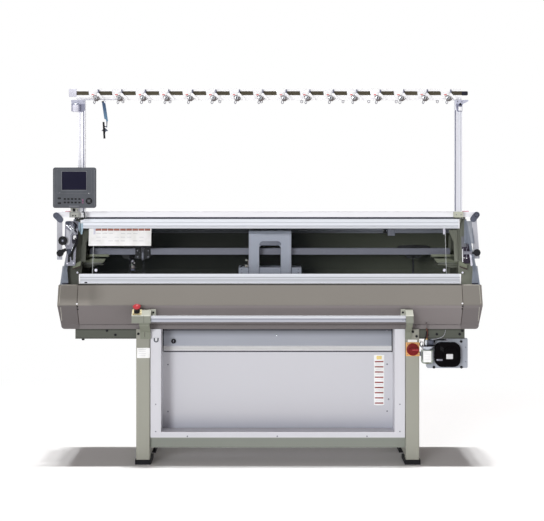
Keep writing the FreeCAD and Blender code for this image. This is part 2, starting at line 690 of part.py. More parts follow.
# ---- carriage --------------------------------------------------------------------------------------
def cam_box():
    """Front cam box: lies over the needle bed and reaches down to its guide rail."""
    corners = bed_corners()
    (outer_y, outer_z) = corners[1]
    face = GAP_Y - CAM_FACE
    inner = GAP_Y - CAM_INNER
    rail = GAP_Y - CASTING_FACE
    over = outer_z - outer_y + BED_CLEARANCE
    toe = rail + 12
    section = [(face, CAM_TOP), (inner, CAM_TOP), (inner, inner + over), (toe, toe + over),
               (rail - 2, toe + over), (rail - 2, GUIDE_TOP + SLIDE_GAP),
               (rail - GUIDE - SLIDE_GAP, GUIDE_TOP + SLIDE_GAP),
               (rail - GUIDE - SLIDE_GAP, GUIDE_TOP - GUIDE - 10),
               (rail - GUIDE - 15, GUIDE_TOP - GUIDE - 10), (rail - GUIDE - 15, GUIDE_TOP + 120),
               (face, GUIDE_TOP + 150)]
    return along_x(section, -CAM_LENGTH / 2, CAM_LENGTH / 2)


def cam_boxes():
    """Both cam boxes; the rear one carries the clamp over the belt."""
    front = cam_box()
    rear = behind(front)
    outer = GAP_Y + CASTING_FACE + GUIDE + 15
    top = PULLEY_Z + PULLEY + BELT_THICK
    clamp = box(-40, 40, outer - 1, BELT_Y + BELT_WIDE - 2, top + 0.4, top + 14)
    return group(front, join(rear, clamp))


def carriage_bridge():
    """Bridge over the feeder rails: an arched plate in front and behind, joined by a bevelled top."""
    face = GAP_Y - CAM_FACE
    half, opening = ARCH_WIDTH / 2, ARCH_OPEN / 2
    foot = GUIDE_TOP + 152
    sheet = [(face - ARCH_PLATE, foot), (face - ARCH_PLATE, ARCH_TOP - ARCH_BEVEL),
             (face + 10, ARCH_TOP), (GAP_Y, ARCH_TOP)]
    inner = [(GAP_Y, ARCH_TOP - ARCH_PLATE), (face + 10, ARCH_TOP - ARCH_PLATE),
             (face, ARCH_TOP - ARCH_BEVEL - 6), (face, foot)]
    front = along_x(sheet + inner, -half, half)
    rib = box(-half, half, face, face + ARCH_RIB, CAM_TOP, ARCH_TOP - ARCH_PLATE)
    cut = along_y([(-opening, foot - 1), (opening, foot - 1), (opening, ARCH_OPEN_TOP),
                   (-opening, ARCH_OPEN_TOP)], face - ARCH_PLATE - 1, face, [0, 0, 28.0, 28.0])
    rib_cut = along_y([(-opening, CAM_TOP - 1), (opening, CAM_TOP - 1), (opening, ARCH_OPEN_TOP - 18),
                       (-opening, ARCH_OPEN_TOP - 18)], face - 1, face + ARCH_RIB + 1, [0, 0, 20.0, 20.0])
    front = join(front, rib).cut(cut).cut(rib_cut)
    return join(front, behind(front))


# ---- feeder rails and feeders ----------------------------------------------------------------------
def rail_y(number):
    """Middle of feeder rail 0 to 3, counted from the front."""
    return GAP_Y + (number - 1.5) * CARRIER_PITCH


def carrier_rail(number):
    """Flat bar with two grooves along each face."""
    y, half, top = rail_y(number), CARRIER_THICK / 2, CARRIER_Z + CARRIER_TALL
    levels = [CARRIER_Z, CARRIER_Z + 7, CARRIER_Z + 11, top - 11, top - 7, top]
    depths = [0, 0, 1.5, 0, 1.5, 0]
    front = []
    for low, high, deep in ((0, 1, 0), (1, 2, 1.5), (2, 3, 0), (3, 4, 1.5), (4, 5, 0)):
        front += [(y - half + deep, levels[low]), (y - half + deep, levels[high])]
    rear = [(2 * y - a, b) for a, b in front[::-1]]
    return along_x(front + rear, -CARRIER_HALF, CARRIER_HALF)


def carrier_rails():
    return group(*[carrier_rail(number) for number in range(4)])


def rail_brackets():
    """A bracket under the feeder rails at each end, bolted to the end frame."""
    y0, y1 = rail_y(0) - 12, rail_y(3) + 12
    shelf = box(CARRIER_HALF - 104, FRAME_IN, y0, y1, CARRIER_Z - 14, CARRIER_Z)
    brace = along_y([(FRAME_IN - 60, CARRIER_Z - 14), (FRAME_IN, CARRIER_Z - 14), (FRAME_IN, CARRIER_Z - 70)],
                    y0 + 30, y1 - 30)
    right = join(shelf, brace)
    return group(right, other_end(right))


def feeder(number, x, length):
    """Yarn feeder: a slotted shoe on its rail and an arm that leads the yarn down to the needle gap."""
    y = rail_y(number)
    tip_y = GAP_Y + (number - 1.5) * FEEDER_TIP_PITCH
    near, far = CARRIER_THICK / 2 + SLIDE_GAP, CARRIER_THICK / 2 + SLIDE_GAP + FEEDER_SHOE
    top = CARRIER_Z + CARRIER_TALL + SLIDE_GAP
    low = CARRIER_Z - 24
    cap = along_y([(x - length / 2, top), (x + length / 2, top), (x + length / 2 - 22, top + 14),
                   (x - length / 2 + 22, top + 14)], y - far, y + far)
    walls = []
    for y0, y1 in ((y - far, y - near), (y + near, y + far)):
        walls.append(along_y([(x - 43, low + 12), (x - 31, low), (x + 31, low), (x + 43, low + 12),
                              (x + 43, top), (x - 43, top)], y0, y1))
    under = box(x - 31, x + 31, y - far, y + far, low, CARRIER_Z - SLIDE_GAP)
    bend_z = CAM_TOP + 12
    bend_y = GAP_Y + (number - 1.5) * (FEEDER_TIP_PITCH + 3.2)
    side = 1.0 if bend_y > y else -1.0
    arm = along_x([(y - 2, low + 2), (y + 2, low + 2), (bend_y + 1.4, bend_z), (tip_y + 1.0, FEEDER_TIP_Z),
                   (tip_y - 1.0, FEEDER_TIP_Z), (bend_y - 1.4, bend_z)], x - 6, x + 6)
    plate = box(x - 5, x + 5, y - far - 3, y - far, low - 10, top - 6)
    return join(cap, *walls, under, arm, plate)


# ---- window ----------------------------------------------------------------------------------------
def grooved_rail(y, z, tall, deep, grooves):
    """Section of an aluminium rail: grooves of (height, width) run along its front."""
    line = [(y, z)]
    for height, width in grooves:
        line += [(y, z + height), (y + 2, z + height + 1), (y + 2, z + height + width - 1),
                 (y, z + height + width)]
    line += [(y, z + tall), (y + deep, z + tall), (y + deep, z)]
    return line


def window_top_rail():
    """Upper window rail, bored at both ends for the hinge pins."""
    section = grooved_rail(TOP_RAIL_Y, TOP_RAIL_Z, TOP_RAIL_TALL, TOP_RAIL_DEEP, [(11, 7), (31, 6)])
    rail = along_x(section, -MAIN_HALF + SEAM, MAIN_HALF - SEAM)
    for x in (-MAIN_HALF, MAIN_HALF - 23):
        rail = rail.cut(rod(x, WINDOW_PIN_Y, WINDOW_PIN_Z, AXIS_X, WINDOW_PIN + RUNNING, 23))
    return rail


def window_handle_rail():
    """Lower window rail, by which the window is lifted."""
    section = grooved_rail(WINDOW_Y, RAIL_BOTTOM, RAIL_TALL, RAIL_DEEP, [(9, 6), (31, 9)])
    return along_x(section, -MAIN_HALF + SEAM, MAIN_HALF - SEAM)


def window_rails():
    return group(window_top_rail(), window_handle_rail())


def window_pane():
    """Clear pane between the two rails."""
    low, high = WINDOW_Y + 11, TOP_RAIL_Y + 10
    return along_x([(low, RAIL_BOTTOM + RAIL_TALL), (low + PANE, RAIL_BOTTOM + RAIL_TALL),
                    (high + PANE, TOP_RAIL_Z), (high, TOP_RAIL_Z)], PANE_LEFT, PANE_RIGHT)


def pane_fixings():
    """A turned knob on the pane near each lower corner and a clip near each upper one."""
    low, high = V(0, WINDOW_Y + 11, RAIL_BOTTOM + RAIL_TALL), V(0, TOP_RAIL_Y + 10, TOP_RAIL_Z)
    up = (high - low).normalize()
    out = V(0, -up.z, up.y)
    pieces = []
    for x, side in ((PANE_LEFT + 20, -1), (PANE_RIGHT - 12, 1)):
        foot = low + up * 19 + AXIS_X * x
        profile = [V(0, 0, 0), V(PANE_KNOB - 3, 0, 0), V(PANE_KNOB - 3, 0, 3), V(PANE_KNOB, 0, 4),
                   V(PANE_KNOB, 0, 9), V(PANE_KNOB - 2, 0, 11), V(0, 0, 11)]
        knob = Part.Face(Part.makePolygon(profile + profile[:1])).revolve(V(0, 0, 0), AXIS_Z, 360)
        knob.Placement = FreeCAD.Placement(foot, FreeCAD.Rotation(AXIS_Z, out))
        pieces.append(knob)
        top = high - up * 34
        edge = PANE_LEFT - 3 if side < 0 else PANE_RIGHT - 13
        face = [(top.y + out.y * 4, top.z + out.z * 4), (top.y, top.z), (high.y, high.z),
                (high.y + out.y * 4 - up.y * 0.5, high.z + out.z * 4 - up.z * 0.5)]
        pieces.append(along_x([(y, min(z, TOP_RAIL_Z)) for y, z in face], edge + 3 * (side < 0), edge + 13))
    return group(*pieces)


def back_wall():
    """Rear wall of the knitting space, from the rear cover up to the table."""
    rear, head = 2 * GAP_Y, UPPER_TOP - THIN
    line = [(rear - 186, head), (rear - 170, head), (rear - 164, TOP_RAIL_Z),
            (rear - 93, RAIL_BOTTOM + RAIL_TALL), (rear - 85, COVER_TOP), (rear - 69, COVER_TOP)]
    return bent_sheet(line, THIN, -FRAME_IN + 20, FRAME_IN - 20, 3.0)


def guide_beam():
    """Dark channel behind the carriage that carries its cable, with a sensor block on it."""
    y0, y1, z0, z1 = GAP_Y + 132, GAP_Y + 156, TOP_RAIL_Z - 35, TOP_RAIL_Z - 3
    line = [(y0, z0), (y1, z0), (y1, z1), (y0, z1), (y0, z1 - 4), (y1 - 4, z1 - 4), (y1 - 4, z0 + 4),
            (y0, z0 + 4)]
    beam = along_x(line, -FRAME_IN, FRAME_IN)
    sensor = MAIN_HALF - 376
    block = box(sensor, sensor + 40, y0 - 2, y1 - 4, z0 - 15, z1 - 4)
    cover = box(sensor + 40, MAIN_HALF - 49, y0 + 1, y0 + 3, z0 + 4, z1 - 4)
    return join(beam, block, cover)


# ---- table and yarn stand --------------------------------------------------------------------------
def yarn_table():
    """Tray for the yarn cones: folded sheet, open below."""
    y1 = TABLE_FRONT + TABLE_DEPTH
    low = TABLE_TOP - TABLE_LIP
    tray = along_x([(TABLE_FRONT, low), (y1, low), (y1, TABLE_TOP), (TABLE_FRONT, TABLE_TOP)],
                   TABLE_LEFT, TABLE_RIGHT, [0, 0, 4.0, 4.0])
    inside = box(TABLE_LEFT + THIN, TABLE_RIGHT - THIN, TABLE_FRONT + THIN, y1 - THIN, low - 1,
                 TABLE_TOP - THIN)
    return tray.cut(inside)


def capsule(x0, z0, x1, z1, radius, y0, y1):
    """Plate with two round ends round two points of the front view."""
    length = math.hypot(x1 - x0, z1 - z0)
    across = V(-(z1 - z0) / length * radius, 0, (x1 - x0) / length * radius)
    along = V((x1 - x0) / length * radius, 0, (z1 - z0) / length * radius)
    start, end = V(x0, y0, z0), V(x1, y0, z1)
    edges = [Part.LineSegment(start + across, end + across).toShape(),
             Part.Arc(end + across, end + along, end - across).toShape(),
             Part.LineSegment(end - across, start - across).toShape(),
             Part.Arc(start - across, start - along, start + across).toShape()]
    return Part.Face(Part.Wire(edges)).extrude(V(0, y1 - y0, 0))


def table_end_caps():
    """Rounded plates at the table's ends that the side strips hang from."""
    y0, y1 = TABLE_FRONT - CAP_THICK, TABLE_FRONT
    left = capsule(TABLE_LEFT + 1, TABLE_TOP - 21, TABLE_LEFT + 24, TABLE_TOP - 44, CAP_RADIUS, y0, y1)
    right = capsule(TABLE_RIGHT - 3, TABLE_TOP - 17, TABLE_RIGHT - 22, TABLE_TOP - 41, CAP_RADIUS, y0, y1)
    return group(left, right)


def side_strips():
    """Light strips that hang beside the machine's shoulders."""
    high = TABLE_TOP - TABLE_LIP - 0.3
    y0, y1 = TABLE_FRONT, TABLE_FRONT + 6
    x, foot = TABLE_LEFT + 5, TABLE_TOP - 266
    left = along_y([(x, foot), (x + 29, foot), (x + 29, high), (x, high)], y0, y1, [3.0, 3.0, 0, 0])
    x, foot = TABLE_RIGHT - 31, TABLE_TOP - 260
    right = along_y([(x + 13, foot), (x + 46, foot), (x + 28, high), (x, high)], y0, y1, [3.0, 3.0, 0, 0])
    return group(left, right)


def post():
    """Right post of the yarn stand: a square extrusion with a slot down each face."""
    half, slot, deep = POST / 2, POST_SLOT / 2, 5.0
    quarter = [(half, -slot), (half - deep, -slot), (half - deep, slot), (half, slot), (half, half)]
    points = []
    for turn in range(4):
        c, s = round(math.cos(turn * math.pi / 2)), round(math.sin(turn * math.pi / 2))
        points += [(c * a - s * b, s * a + c * b) for a, b in quarter]
    middle_y = POST_Y + half
    placed = [(POST_X + a, middle_y + b) for a, b in points]
    return along_z(placed, TABLE_TOP - TABLE_LIP, BEAM_BOTTOM)


POST_Y = TABLE_FRONT - SOCKET_WALL - POST


def stand_posts():
    right = post()
    return group(right, other_end(right))


def socket(middle):
    """Square sleeve that holds a post against the table's front."""
    wall, half = SOCKET_WALL - 0.3, POST / 2
    z0, z1 = TABLE_TOP - TABLE_LIP, TABLE_TOP
    outer = box(middle - half - wall, middle + half + wall, POST_Y - wall, TABLE_FRONT, z0, z1)
    return outer.cut(box(middle - half - 0.2, middle + half + 0.2, POST_Y - 0.2, POST_Y + POST + 0.2,
                         z0 - 1, z1 + 1))


def stand_fittings():
    """Sockets at the foot of the posts and brackets under the crossbeam."""
    y1, x, z = POST_Y, -POST_X, BEAM_BOTTOM
    left_plate = along_y([(x - 57.5, z), (x + 19.5, z), (x + 19.5, z - 58), (x + 8.5, z - 66),
                          (x - 54.5, z - 66), (x - 54.5, z - 18)], y1 - 4, y1, [4.0, 0, 4.0, 4.0, 10.0, 4.0])
    left_tube = box(x - 52.5, x - 7.5, y1 - 22, y1 - 4, z - 63, z - 25)
    x = POST_X
    right_plate = along_y([(x - 20.5, z), (x + 53.5, z), (x + 53.5, z - 8), (x + 20.5, z - 24),
                           (x + 20.5, z - 64), (x - 8.5, z - 64)], y1 - 4, y1,
                          [0, 4.0, 4.0, 10.0, 4.0, 4.0])
    right_tube = box(x - 4.5, x + 18.5, y1 - 16, y1 - 4, z - 62, z - 36)
    knob = rod(x + 7.5, y1 - 16, z - 24, AXIS_Y, 7.0, 12.0)
    return group(socket(-POST_X), socket(POST_X), join(left_plate, left_tube),
                 join(right_plate, right_tube, knob), yarn_eye(TOOL_X))


def crossbeam():
    """Beam of the yarn stand with a shallow channel along its front."""
    y0, y1 = POST_Y, POST_Y + POST
    low, high = BEAM_BOTTOM, BEAM_BOTTOM + BEAM_TALL
    section = [(y0 + 14, low), (y1, low), (y1, high), (y0, high), (y0, low + STRIP_LOW + STRIP_TALL),
               (y0 + 3, low + STRIP_LOW + STRIP_TALL), (y0 + 3, low + STRIP_LOW), (y0, low + STRIP_LOW),
               (y0, low + 16)]
    return along_x(section, BEAM_LEFT, BEAM_RIGHT)


def crossbeam_trim():
    """Strip in the beam's channel and the caps on its ends."""
    y0, y1 = POST_Y, POST_Y + POST
    low = BEAM_BOTTOM + STRIP_LOW
    strip = box(BEAM_LEFT, BEAM_RIGHT, y0 + 1, y0 + 3, low + 0.2, low + STRIP_TALL - 0.2)
    top = BEAM_BOTTOM + BEAM_TALL
    left = along_x(rectangle(y0 - 2, y1 + 2, top - 42, top + 1), BEAM_LEFT - BEAM_CAP_LEFT, BEAM_LEFT, 4.0)
    right = along_x(rectangle(y0, y1, low, low + STRIP_TALL), BEAM_RIGHT, BEAM_RIGHT + BEAM_CAP_RIGHT, 2.0)
    return group(strip, left, right)


def tension_unit(x):
    """Yarn tension unit: a leaning clip body, a pair of discs, the stop arm and its wire hook."""
    y = POST_Y
    top = BEAM_BOTTOM + BEAM_TALL
    body = along_y([(x - 35, top + 2), (x - 30, top - 50), (x + 29, top - 50), (x + 20, top + 2)],
                   y - 13, y, [5.0, 3.0, 3.0, 5.0])
    peg = rod(x + 18, y - 6, top - 2, AXIS_Z, 2.5, 12)
    discs = rod(x + 4, y - 21, top - 54, AXIS_Y, 9.0, 8)
    seat = box(x - 4, x + 12, y - 13, y - 5, top - 60, top - 48)
    arm = along_y([(x - 20, top - 30), (x - 4, top - 33), (x + 4, top - 50), (x - 2, top - 50),
                   (x - 9, top - 37), (x - 20, top - 34)], y - 17, y - 13)
    hook = along_y([(x - 14, top - 62), (x - 14, top - 78), (x - 2, top - 84), (x + 3, top - 76),
                    (x + 3, top - 56), (x, top - 56), (x, top - 74), (x - 3, top - 80),
                    (x - 11, top - 76), (x - 11, top - 62)], y - 12, y - 9)
    return join(body, peg, seat, discs, arm, hook)


EYE_SHARES = (0.1195, 0.1893, 0.2420, 0.3717, 0.4801, 0.5847, 0.6922, 0.7591, 0.8308, 0.9378)
EYELETS = [BEAM_LEFT + share * (BEAM_RIGHT - BEAM_LEFT) for share in EYE_SHARES]
EYE_Y = POST_Y + 24     # plane of the yarn eyes
EYE_DROP = 9.0          # middle of an eye below the beam
EYE_RADIUS = 7.0
EYE_WIRE = 2.4


def yarn_eye(x):
    """Small ring on a short stem under the beam."""
    ring = rod(x, EYE_Y - 1.5, BEAM_BOTTOM - EYE_DROP, AXIS_Y, EYE_RADIUS, 3.0).cut(
        rod(x, EYE_Y - 2, BEAM_BOTTOM - EYE_DROP, AXIS_Y, EYE_RADIUS - EYE_WIRE, 4.0))
    stem = box(x - 1.2, x + 1.2, EYE_Y - 1.2, EYE_Y + 1.2, BEAM_BOTTOM - EYE_DROP + EYE_RADIUS - 1.5,
               BEAM_BOTTOM)
    return join(ring, stem)


def yarn_tension_units():
    """The row of tension units and the small yarn eyes under the beam."""
    units = [tension_unit(TENSION_FIRST + i * TENSION_PITCH) for i in range(TENSION_COUNT)]
    return group(*units, *[yarn_eye(x) for x in EYELETS])


# ---- hanging threading tool ------------------------------------------------------------------------
TOOL_X = BEAM_LEFT + 151.5
STRAP_TOP = BEAM_BOTTOM - EYE_DROP - EYE_RADIUS - 0.3
STRAP_END = STRAP_TOP - 100


def tool_strap():
    """Flat strap that hangs from its own eye under the beam."""
    return along_y([(TOOL_X - 5, STRAP_TOP), (TOOL_X + 5, STRAP_TOP), (TOOL_X + 20, STRAP_END),
                    (TOOL_X + 9, STRAP_END)], EYE_Y - 0.8, EYE_Y + 0.8)


def threading_tool():
    """Hook tool on the strap: a clear link, a black shaft and a pair of wings."""
    end = STRAP_END
    link = along_y([(TOOL_X + 10, end), (TOOL_X + 17, end), (TOOL_X + 15, end - 30), (TOOL_X + 11, end - 30)],
                   EYE_Y - 1, EYE_Y + 1)
    link = join(link, along_y([(TOOL_X - 2, end - 24), (TOOL_X + 15, end - 30), (TOOL_X + 15, end - 36),
                               (TOOL_X - 2, end - 30)], EYE_Y - 1, EYE_Y + 1))
    shaft = rod(TOOL_X, EYE_Y, end - 96, V(-0.06, 0, 1), 5.5, 92)
    wings = along_y([(TOOL_X - 17, end - 54), (TOOL_X, end - 36), (TOOL_X + 8, end - 40),
                     (TOOL_X + 21, end - 54), (TOOL_X + 8, end - 56), (TOOL_X + 4, end - 62),
                     (TOOL_X, end - 54)], EYE_Y - 3, EYE_Y + 3)
    return join(link, shaft, wings)


# ---- monitor ---------------------------------------------------------------------------------------
def monitor_housing():
    """Monitor case with a sunk face and two ears on the tilt pin."""
    x0, x1 = MONITOR_LEFT, MONITOR_LEFT + MONITOR_WIDE
    z0, z1 = MONITOR_LOW, MONITOR_LOW + MONITOR_TALL
    y0, y1 = MONITOR_FRONT, MONITOR_FRONT + MONITOR_DEEP
    case = along_y(rectangle(x0, x1, z0, z1), y0, y1, MONITOR_CORNER)
    rim = [edge for edge in case.Edges if all(abs(end.Y - y0) < 1e-6 for end in edge.Vertexes)]
    case = case.makeFillet(MONITOR_EDGE, rim)
    sx, sz = screen_corner()
    case = case.cut(box(sx, sx + SCREEN_WIDE, y0 - 1, y0 + 4, sz, sz + SCREEN_TALL))
    back = along_y(rectangle(x0 + 25, x1 - 25, z0 + 30, z1 - 30), y1, y1 + 14, 10.0)
    ears = []
    for x in (NECK_X - NECK_WIDE / 2 - 10.3, NECK_X + NECK_WIDE / 2 + 0.3):
        ear = along_x([(y1 - 1, TILT_Z - 12), (TILT_Y, TILT_Z - 12), (TILT_Y + 12, TILT_Z),
                       (TILT_Y, TILT_Z + 12), (y1 - 1, TILT_Z + 12)], x, x + 10)
        ears.append(ear.cut(rod(x - 1, TILT_Y, TILT_Z, AXIS_X, TILT_PIN + RUNNING, 12)))
    neck_room = box(NECK_X - NECK_WIDE / 2 - 0.3, NECK_X + NECK_WIDE / 2 + 0.3, y1 + 0.01, y1 + 20,
                    z0, TILT_Z + 24)
    return join(case, back.cut(neck_room), *ears)


def screen_corner():
    """Lower left corner of the screen."""
    return (MONITOR_LEFT + 49.6, MONITOR_LOW + 98.8)


def monitor_screen():
    """Glass of the screen, let into the case."""
    sx, sz = screen_corner()
    return box(sx + 0.2, sx + SCREEN_WIDE - 0.2, MONITOR_FRONT + 1.5, MONITOR_FRONT + 4,
               sz + 0.2, sz + SCREEN_TALL - 0.2)


def monitor_neck():
    """Bracket from the table's front to the tilt pin, with a bolt recess in its neck."""
    z0, z1 = TABLE_TOP - TABLE_LIP, TABLE_TOP + 1
    x0, x1 = NECK_X - 25, NECK_X + 30
    sleeve_left = -POST_X - POST / 2 - SOCKET_WALL
    block = join(box(x0, x1, POST_Y - 30, POST_Y - SOCKET_WALL, z0, z1),
                 box(x0, sleeve_left - 0.5, POST_Y - 30, TABLE_FRONT, z0, z1))
    half = NECK_WIDE / 2
    neck = along_x([(POST_Y - 30, z1 - 2), (POST_Y - 30, TILT_Z - 14), (TILT_Y - 10, TILT_Z - 14),
                    (TILT_Y - 10, TILT_Z + 6), (TILT_Y - 4, TILT_Z + 12), (TILT_Y + 4, TILT_Z + 12),
                    (TILT_Y + 10, TILT_Z + 6), (POST_Y - SOCKET_WALL, z1 + 16),
                    (POST_Y - SOCKET_WALL, z1 - 2)], NECK_X - half, NECK_X + half)
    neck = neck.cut(box(NECK_X - 6, NECK_X + 7, POST_Y - 31, POST_Y - 22, z1 + 3, z1 + 15))
    pin = rod(NECK_X - half - 10.3, TILT_Y, TILT_Z, AXIS_X, TILT_PIN, NECK_WIDE + 20.6)
    return join(block, neck, pin)


# ---- side tension units ----------------------------------------------------------------------------
LEFT_KNOB_X, LEFT_KNOB_Z = -MAIN_HALF - 89.0, 1233.0
LEFT_LEVER_X, LEFT_LEVER_Z = -MAIN_HALF - 76.0, 1183.0
RIGHT_LEVER_X, RIGHT_LEVER_Z = MAIN_HALF + 66.0, 1166.0
BRACKET_AHEAD = 12.0    # how far the left bracket lies ahead of the front plane
BRACKET_THICK = 4.0
PIVOT_DEEP = 14.0
SIDE_PIN = 4.0          # radius


def sloping_slab(ahead, thick, z0, z1, x0, x1):
    """Slab parallel to the front plane of the upper part, a distance ahead of it."""
    return along_x([(slope_y(z0) - ahead, z0), (slope_y(z0) - ahead + thick, z0),
                    (slope_y(z1) - ahead + thick, z1), (slope_y(z1) - ahead, z1)], x0, x1)


def left_bracket():
    """Pressed bracket parallel to the front plane, with slots, a slanting arm and two pins."""
    x0, wide = -MAIN_HALF, (-MAIN_HALF - 148, -MAIN_HALF + 52)
    face = along_y([(x0 - 81, 1340), (x0 - 6, 1340), (x0 - 8, 1290), (x0 - 16, 1200), (x0 - 18, 1096),
                    (x0 - 70, 1096), (x0 - 68, 1180), (x0 - 81, 1212)], 0, 2 * GAP_Y,
                   [12.0, 6.0, 8.0, 8.0, 8.0, 8.0, 8.0, 8.0])
    for x, z in ((LEFT_KNOB_X, LEFT_KNOB_Z), (LEFT_LEVER_X, LEFT_LEVER_Z)):
        face = face.fuse(capsule(x, z, x + 20, z + 2, 9.0, 0, 2 * GAP_Y))
    plate = face.common(sloping_slab(BRACKET_AHEAD, BRACKET_THICK, 1080, 1360, *wide))
    for slot in (capsule(x0 - 54, 1120, x0 - 54, 1156, 4.0, 0, GAP_Y),
                 capsule(x0 - 36, 1128, x0 - 36, 1172, 4.0, 0, GAP_Y),
                 rod(x0 - 26, 0, 1248, AXIS_Y, 9.0, GAP_Y)):
        plate = plate.cut(slot)
    arm = capsule(x0 - 72, 1318, x0 - 20, 1268, 5.0, 0, GAP_Y).common(
        sloping_slab(BRACKET_AHEAD + 6, 6, 1200, 1360, *wide))
    pins = [rod(x, pivot_y(z) - PIVOT_DEEP, z, AXIS_Y, SIDE_PIN, PIVOT_DEEP + 12)
            for x, z in ((LEFT_KNOB_X, LEFT_KNOB_Z), (LEFT_LEVER_X, LEFT_LEVER_Z))]
    stays = [sloping_slab(BRACKET_AHEAD - BRACKET_THICK, BRACKET_AHEAD - BRACKET_THICK + WEB_BACK, z, z + 6,
                          x, x + 12) for x, z in ((x0 - 24, 1288), (x0 - 34, 1184))]
    return join(plate, arm, *pins, *stays)


def right_bracket():
    """Dark unit in front of the web, and the arm that carries the lever past the side cover."""
    x, z = MAIN_HALF, RIGHT_LEVER_Z
    unit = sloping_slab(-14, WEB_BACK - 14, 1122, 1210, x + 8, x + 42)
    stud = box(x + 18, x + 34, slope_y(z) - 14, slope_y(z - 8) + 16, z - 8, z + 8)
    arm = along_y([(x + 14, z - 8), (x + 74, z - 8), (x + 74, z + 8), (x + 14, z + 8)],
                  slope_y(z) - 16, slope_y(z) - 8, [6.0, 7.9, 7.9, 6.0])
    pin = rod(RIGHT_LEVER_X, slope_y(z) - 16 - PIVOT_DEEP, z, AXIS_Y, SIDE_PIN, PIVOT_DEEP + 2)
    return join(unit, stud, arm, pin)


def side_tension_brackets():
    return group(left_bracket(), right_bracket())


def pivot_y(z):
    """Rear face of a piece that turns in front of the left bracket at a height."""
    return slope_y(z) - BRACKET_AHEAD - 8


def left_tension_knob():
    """Round knob with a sunk face."""
    y = pivot_y(LEFT_KNOB_Z) - PIVOT_DEEP
    knob = rod(LEFT_KNOB_X, y, LEFT_KNOB_Z, AXIS_Y, 23.5, PIVOT_DEEP)
    knob = knob.cut(rod(LEFT_KNOB_X, y - 1, LEFT_KNOB_Z, AXIS_Y, 13.0, 4))
    return knob.cut(rod(LEFT_KNOB_X, y - 1, LEFT_KNOB_Z, AXIS_Y, SIDE_PIN + RUNNING, PIVOT_DEEP + 2))


def finger_lever(hub_x, hub_z, run, rise, back):
    """Lever on a pin with a round finger piece at its end."""
    y = back - PIVOT_DEEP
    lever = capsule(hub_x, hub_z, hub_x + run, hub_z + rise, 7.5, back - 7, back)
    disc = rod(hub_x + run, y, hub_z + rise, AXIS_Y, 19.0, PIVOT_DEEP)
    hub = rod(hub_x, y, hub_z, AXIS_Y, 7.5, PIVOT_DEEP)
    return join(disc, lever, hub).cut(rod(hub_x, y - 1, hub_z, AXIS_Y, SIDE_PIN + RUNNING, PIVOT_DEEP + 2))


def left_lever():
    """Black lever below the left knob."""
    return finger_lever(LEFT_LEVER_X, LEFT_LEVER_Z, -26, -18, pivot_y(LEFT_LEVER_Z))


def right_lever():
    """Black lever at the right shoulder."""
    return finger_lever(RIGHT_LEVER_X, RIGHT_LEVER_Z, 20, 2, slope_y(RIGHT_LEVER_Z) - 16.3)


# ---- start bar, brackets and emergency stop --------------------------------------------------------
def head_section():
    """Side outline of a bar bracket's head."""
    return [(HEAD_FRONT, HEAD_LOW), (HEAD_BACK, HEAD_LOW), (HEAD_BACK, HEAD_HIGH), (HEAD_FRONT, HEAD_EDGE)]


def bracket_arm(x0, x1):
    """Bent arm from the head back to the leg."""
    back = LEG_FRONT
    line = [(HEAD_BACK, HEAD_LOW + 20), (HEAD_BACK, HEAD_LOW - 8), (back, BED_FLOOR - 8), (back, BED_FLOOR - 52)]
    return bent_sheet(line, -ARM_THICK, x0, x1, 4.0)


LEFT_HEAD = (LEG_LEFT - 51.0, LEG_LEFT + 52.0)
LEFT_SEAM = LEG_LEFT + 15.0
RIGHT_HEAD = (LEG_RIGHT - 46.8, LEG_RIGHT - 6.5)
TAB = 26.0


def stop_axis():
    """Unit vector out of the sloping top, and the point on it under the emergency stop."""
    run, rise = HEAD_BACK - HEAD_FRONT, HEAD_HIGH - HEAD_EDGE
    length = math.hypot(run, rise)
    out = V(0, -rise / length, run / length)
    seat = V(STOP_X, (HEAD_FRONT + HEAD_BACK) / 2, (HEAD_EDGE + HEAD_HIGH) / 2)
    return out, seat


def bar_pin(x, direction):
    return rod(x, BAR_Y, BAR_Z, AXIS_X * direction, BAR_PIVOT, 14)


def estop_bracket():
    """Left bar bracket: head with the emergency stop's box, arm and rear tab."""
    box_part = along_x(head_section(), LEFT_HEAD[0], LEFT_SEAM - 0.3, [3.0, 0, 3.0, 4.0])
    head = along_x(head_section(), LEFT_SEAM + 0.3, LEFT_HEAD[1], [3.0, 0, 3.0, 4.0])
    core = box(LEFT_SEAM - 1, LEFT_SEAM + 1, HEAD_FRONT + 2, HEAD_BACK - 1, HEAD_LOW + 1, HEAD_EDGE - 2)
    tab = box(LEFT_HEAD[1] - 2, LEFT_HEAD[1] + TAB, HEAD_BACK - 8, HEAD_BACK - 2, HEAD_EDGE - 4, HEAD_HIGH - 1)
    tab = tab.cut(rod(LEFT_HEAD[1] + 12, HEAD_BACK - 9, HEAD_EDGE + 13, AXIS_Y, 6.0, 8))
    arm = bracket_arm(LEG_LEFT - 13, LEG_LEFT + 43)
    out, seat = stop_axis()
    inner = seat - out * 24
    hole = Part.makeCylinder(STOP_STEM + RUNNING, 26, inner, out)
    return join(box_part, core, head, tab, arm, bar_pin(LEFT_HEAD[1] - 1, 1)).cut(hole)


def right_bar_bracket():
    """Right bar bracket: narrow head, arm and rear tab."""
    head = along_x(head_section(), *RIGHT_HEAD, [3.0, 0, 3.0, 4.0])
    tab = box(RIGHT_HEAD[0] - TAB, RIGHT_HEAD[0] + 2, HEAD_BACK - 8, HEAD_BACK - 2, HEAD_EDGE - 4,
              HEAD_HIGH - 1)
    tab = tab.cut(rod(RIGHT_HEAD[0] - 14, HEAD_BACK - 9, HEAD_EDGE + 13, AXIS_Y, 6.0, 8))
    return join(head, tab, bracket_arm(LEG_RIGHT - 41.5, LEG_RIGHT - 7.5), bar_pin(RIGHT_HEAD[0] + 1, -1))


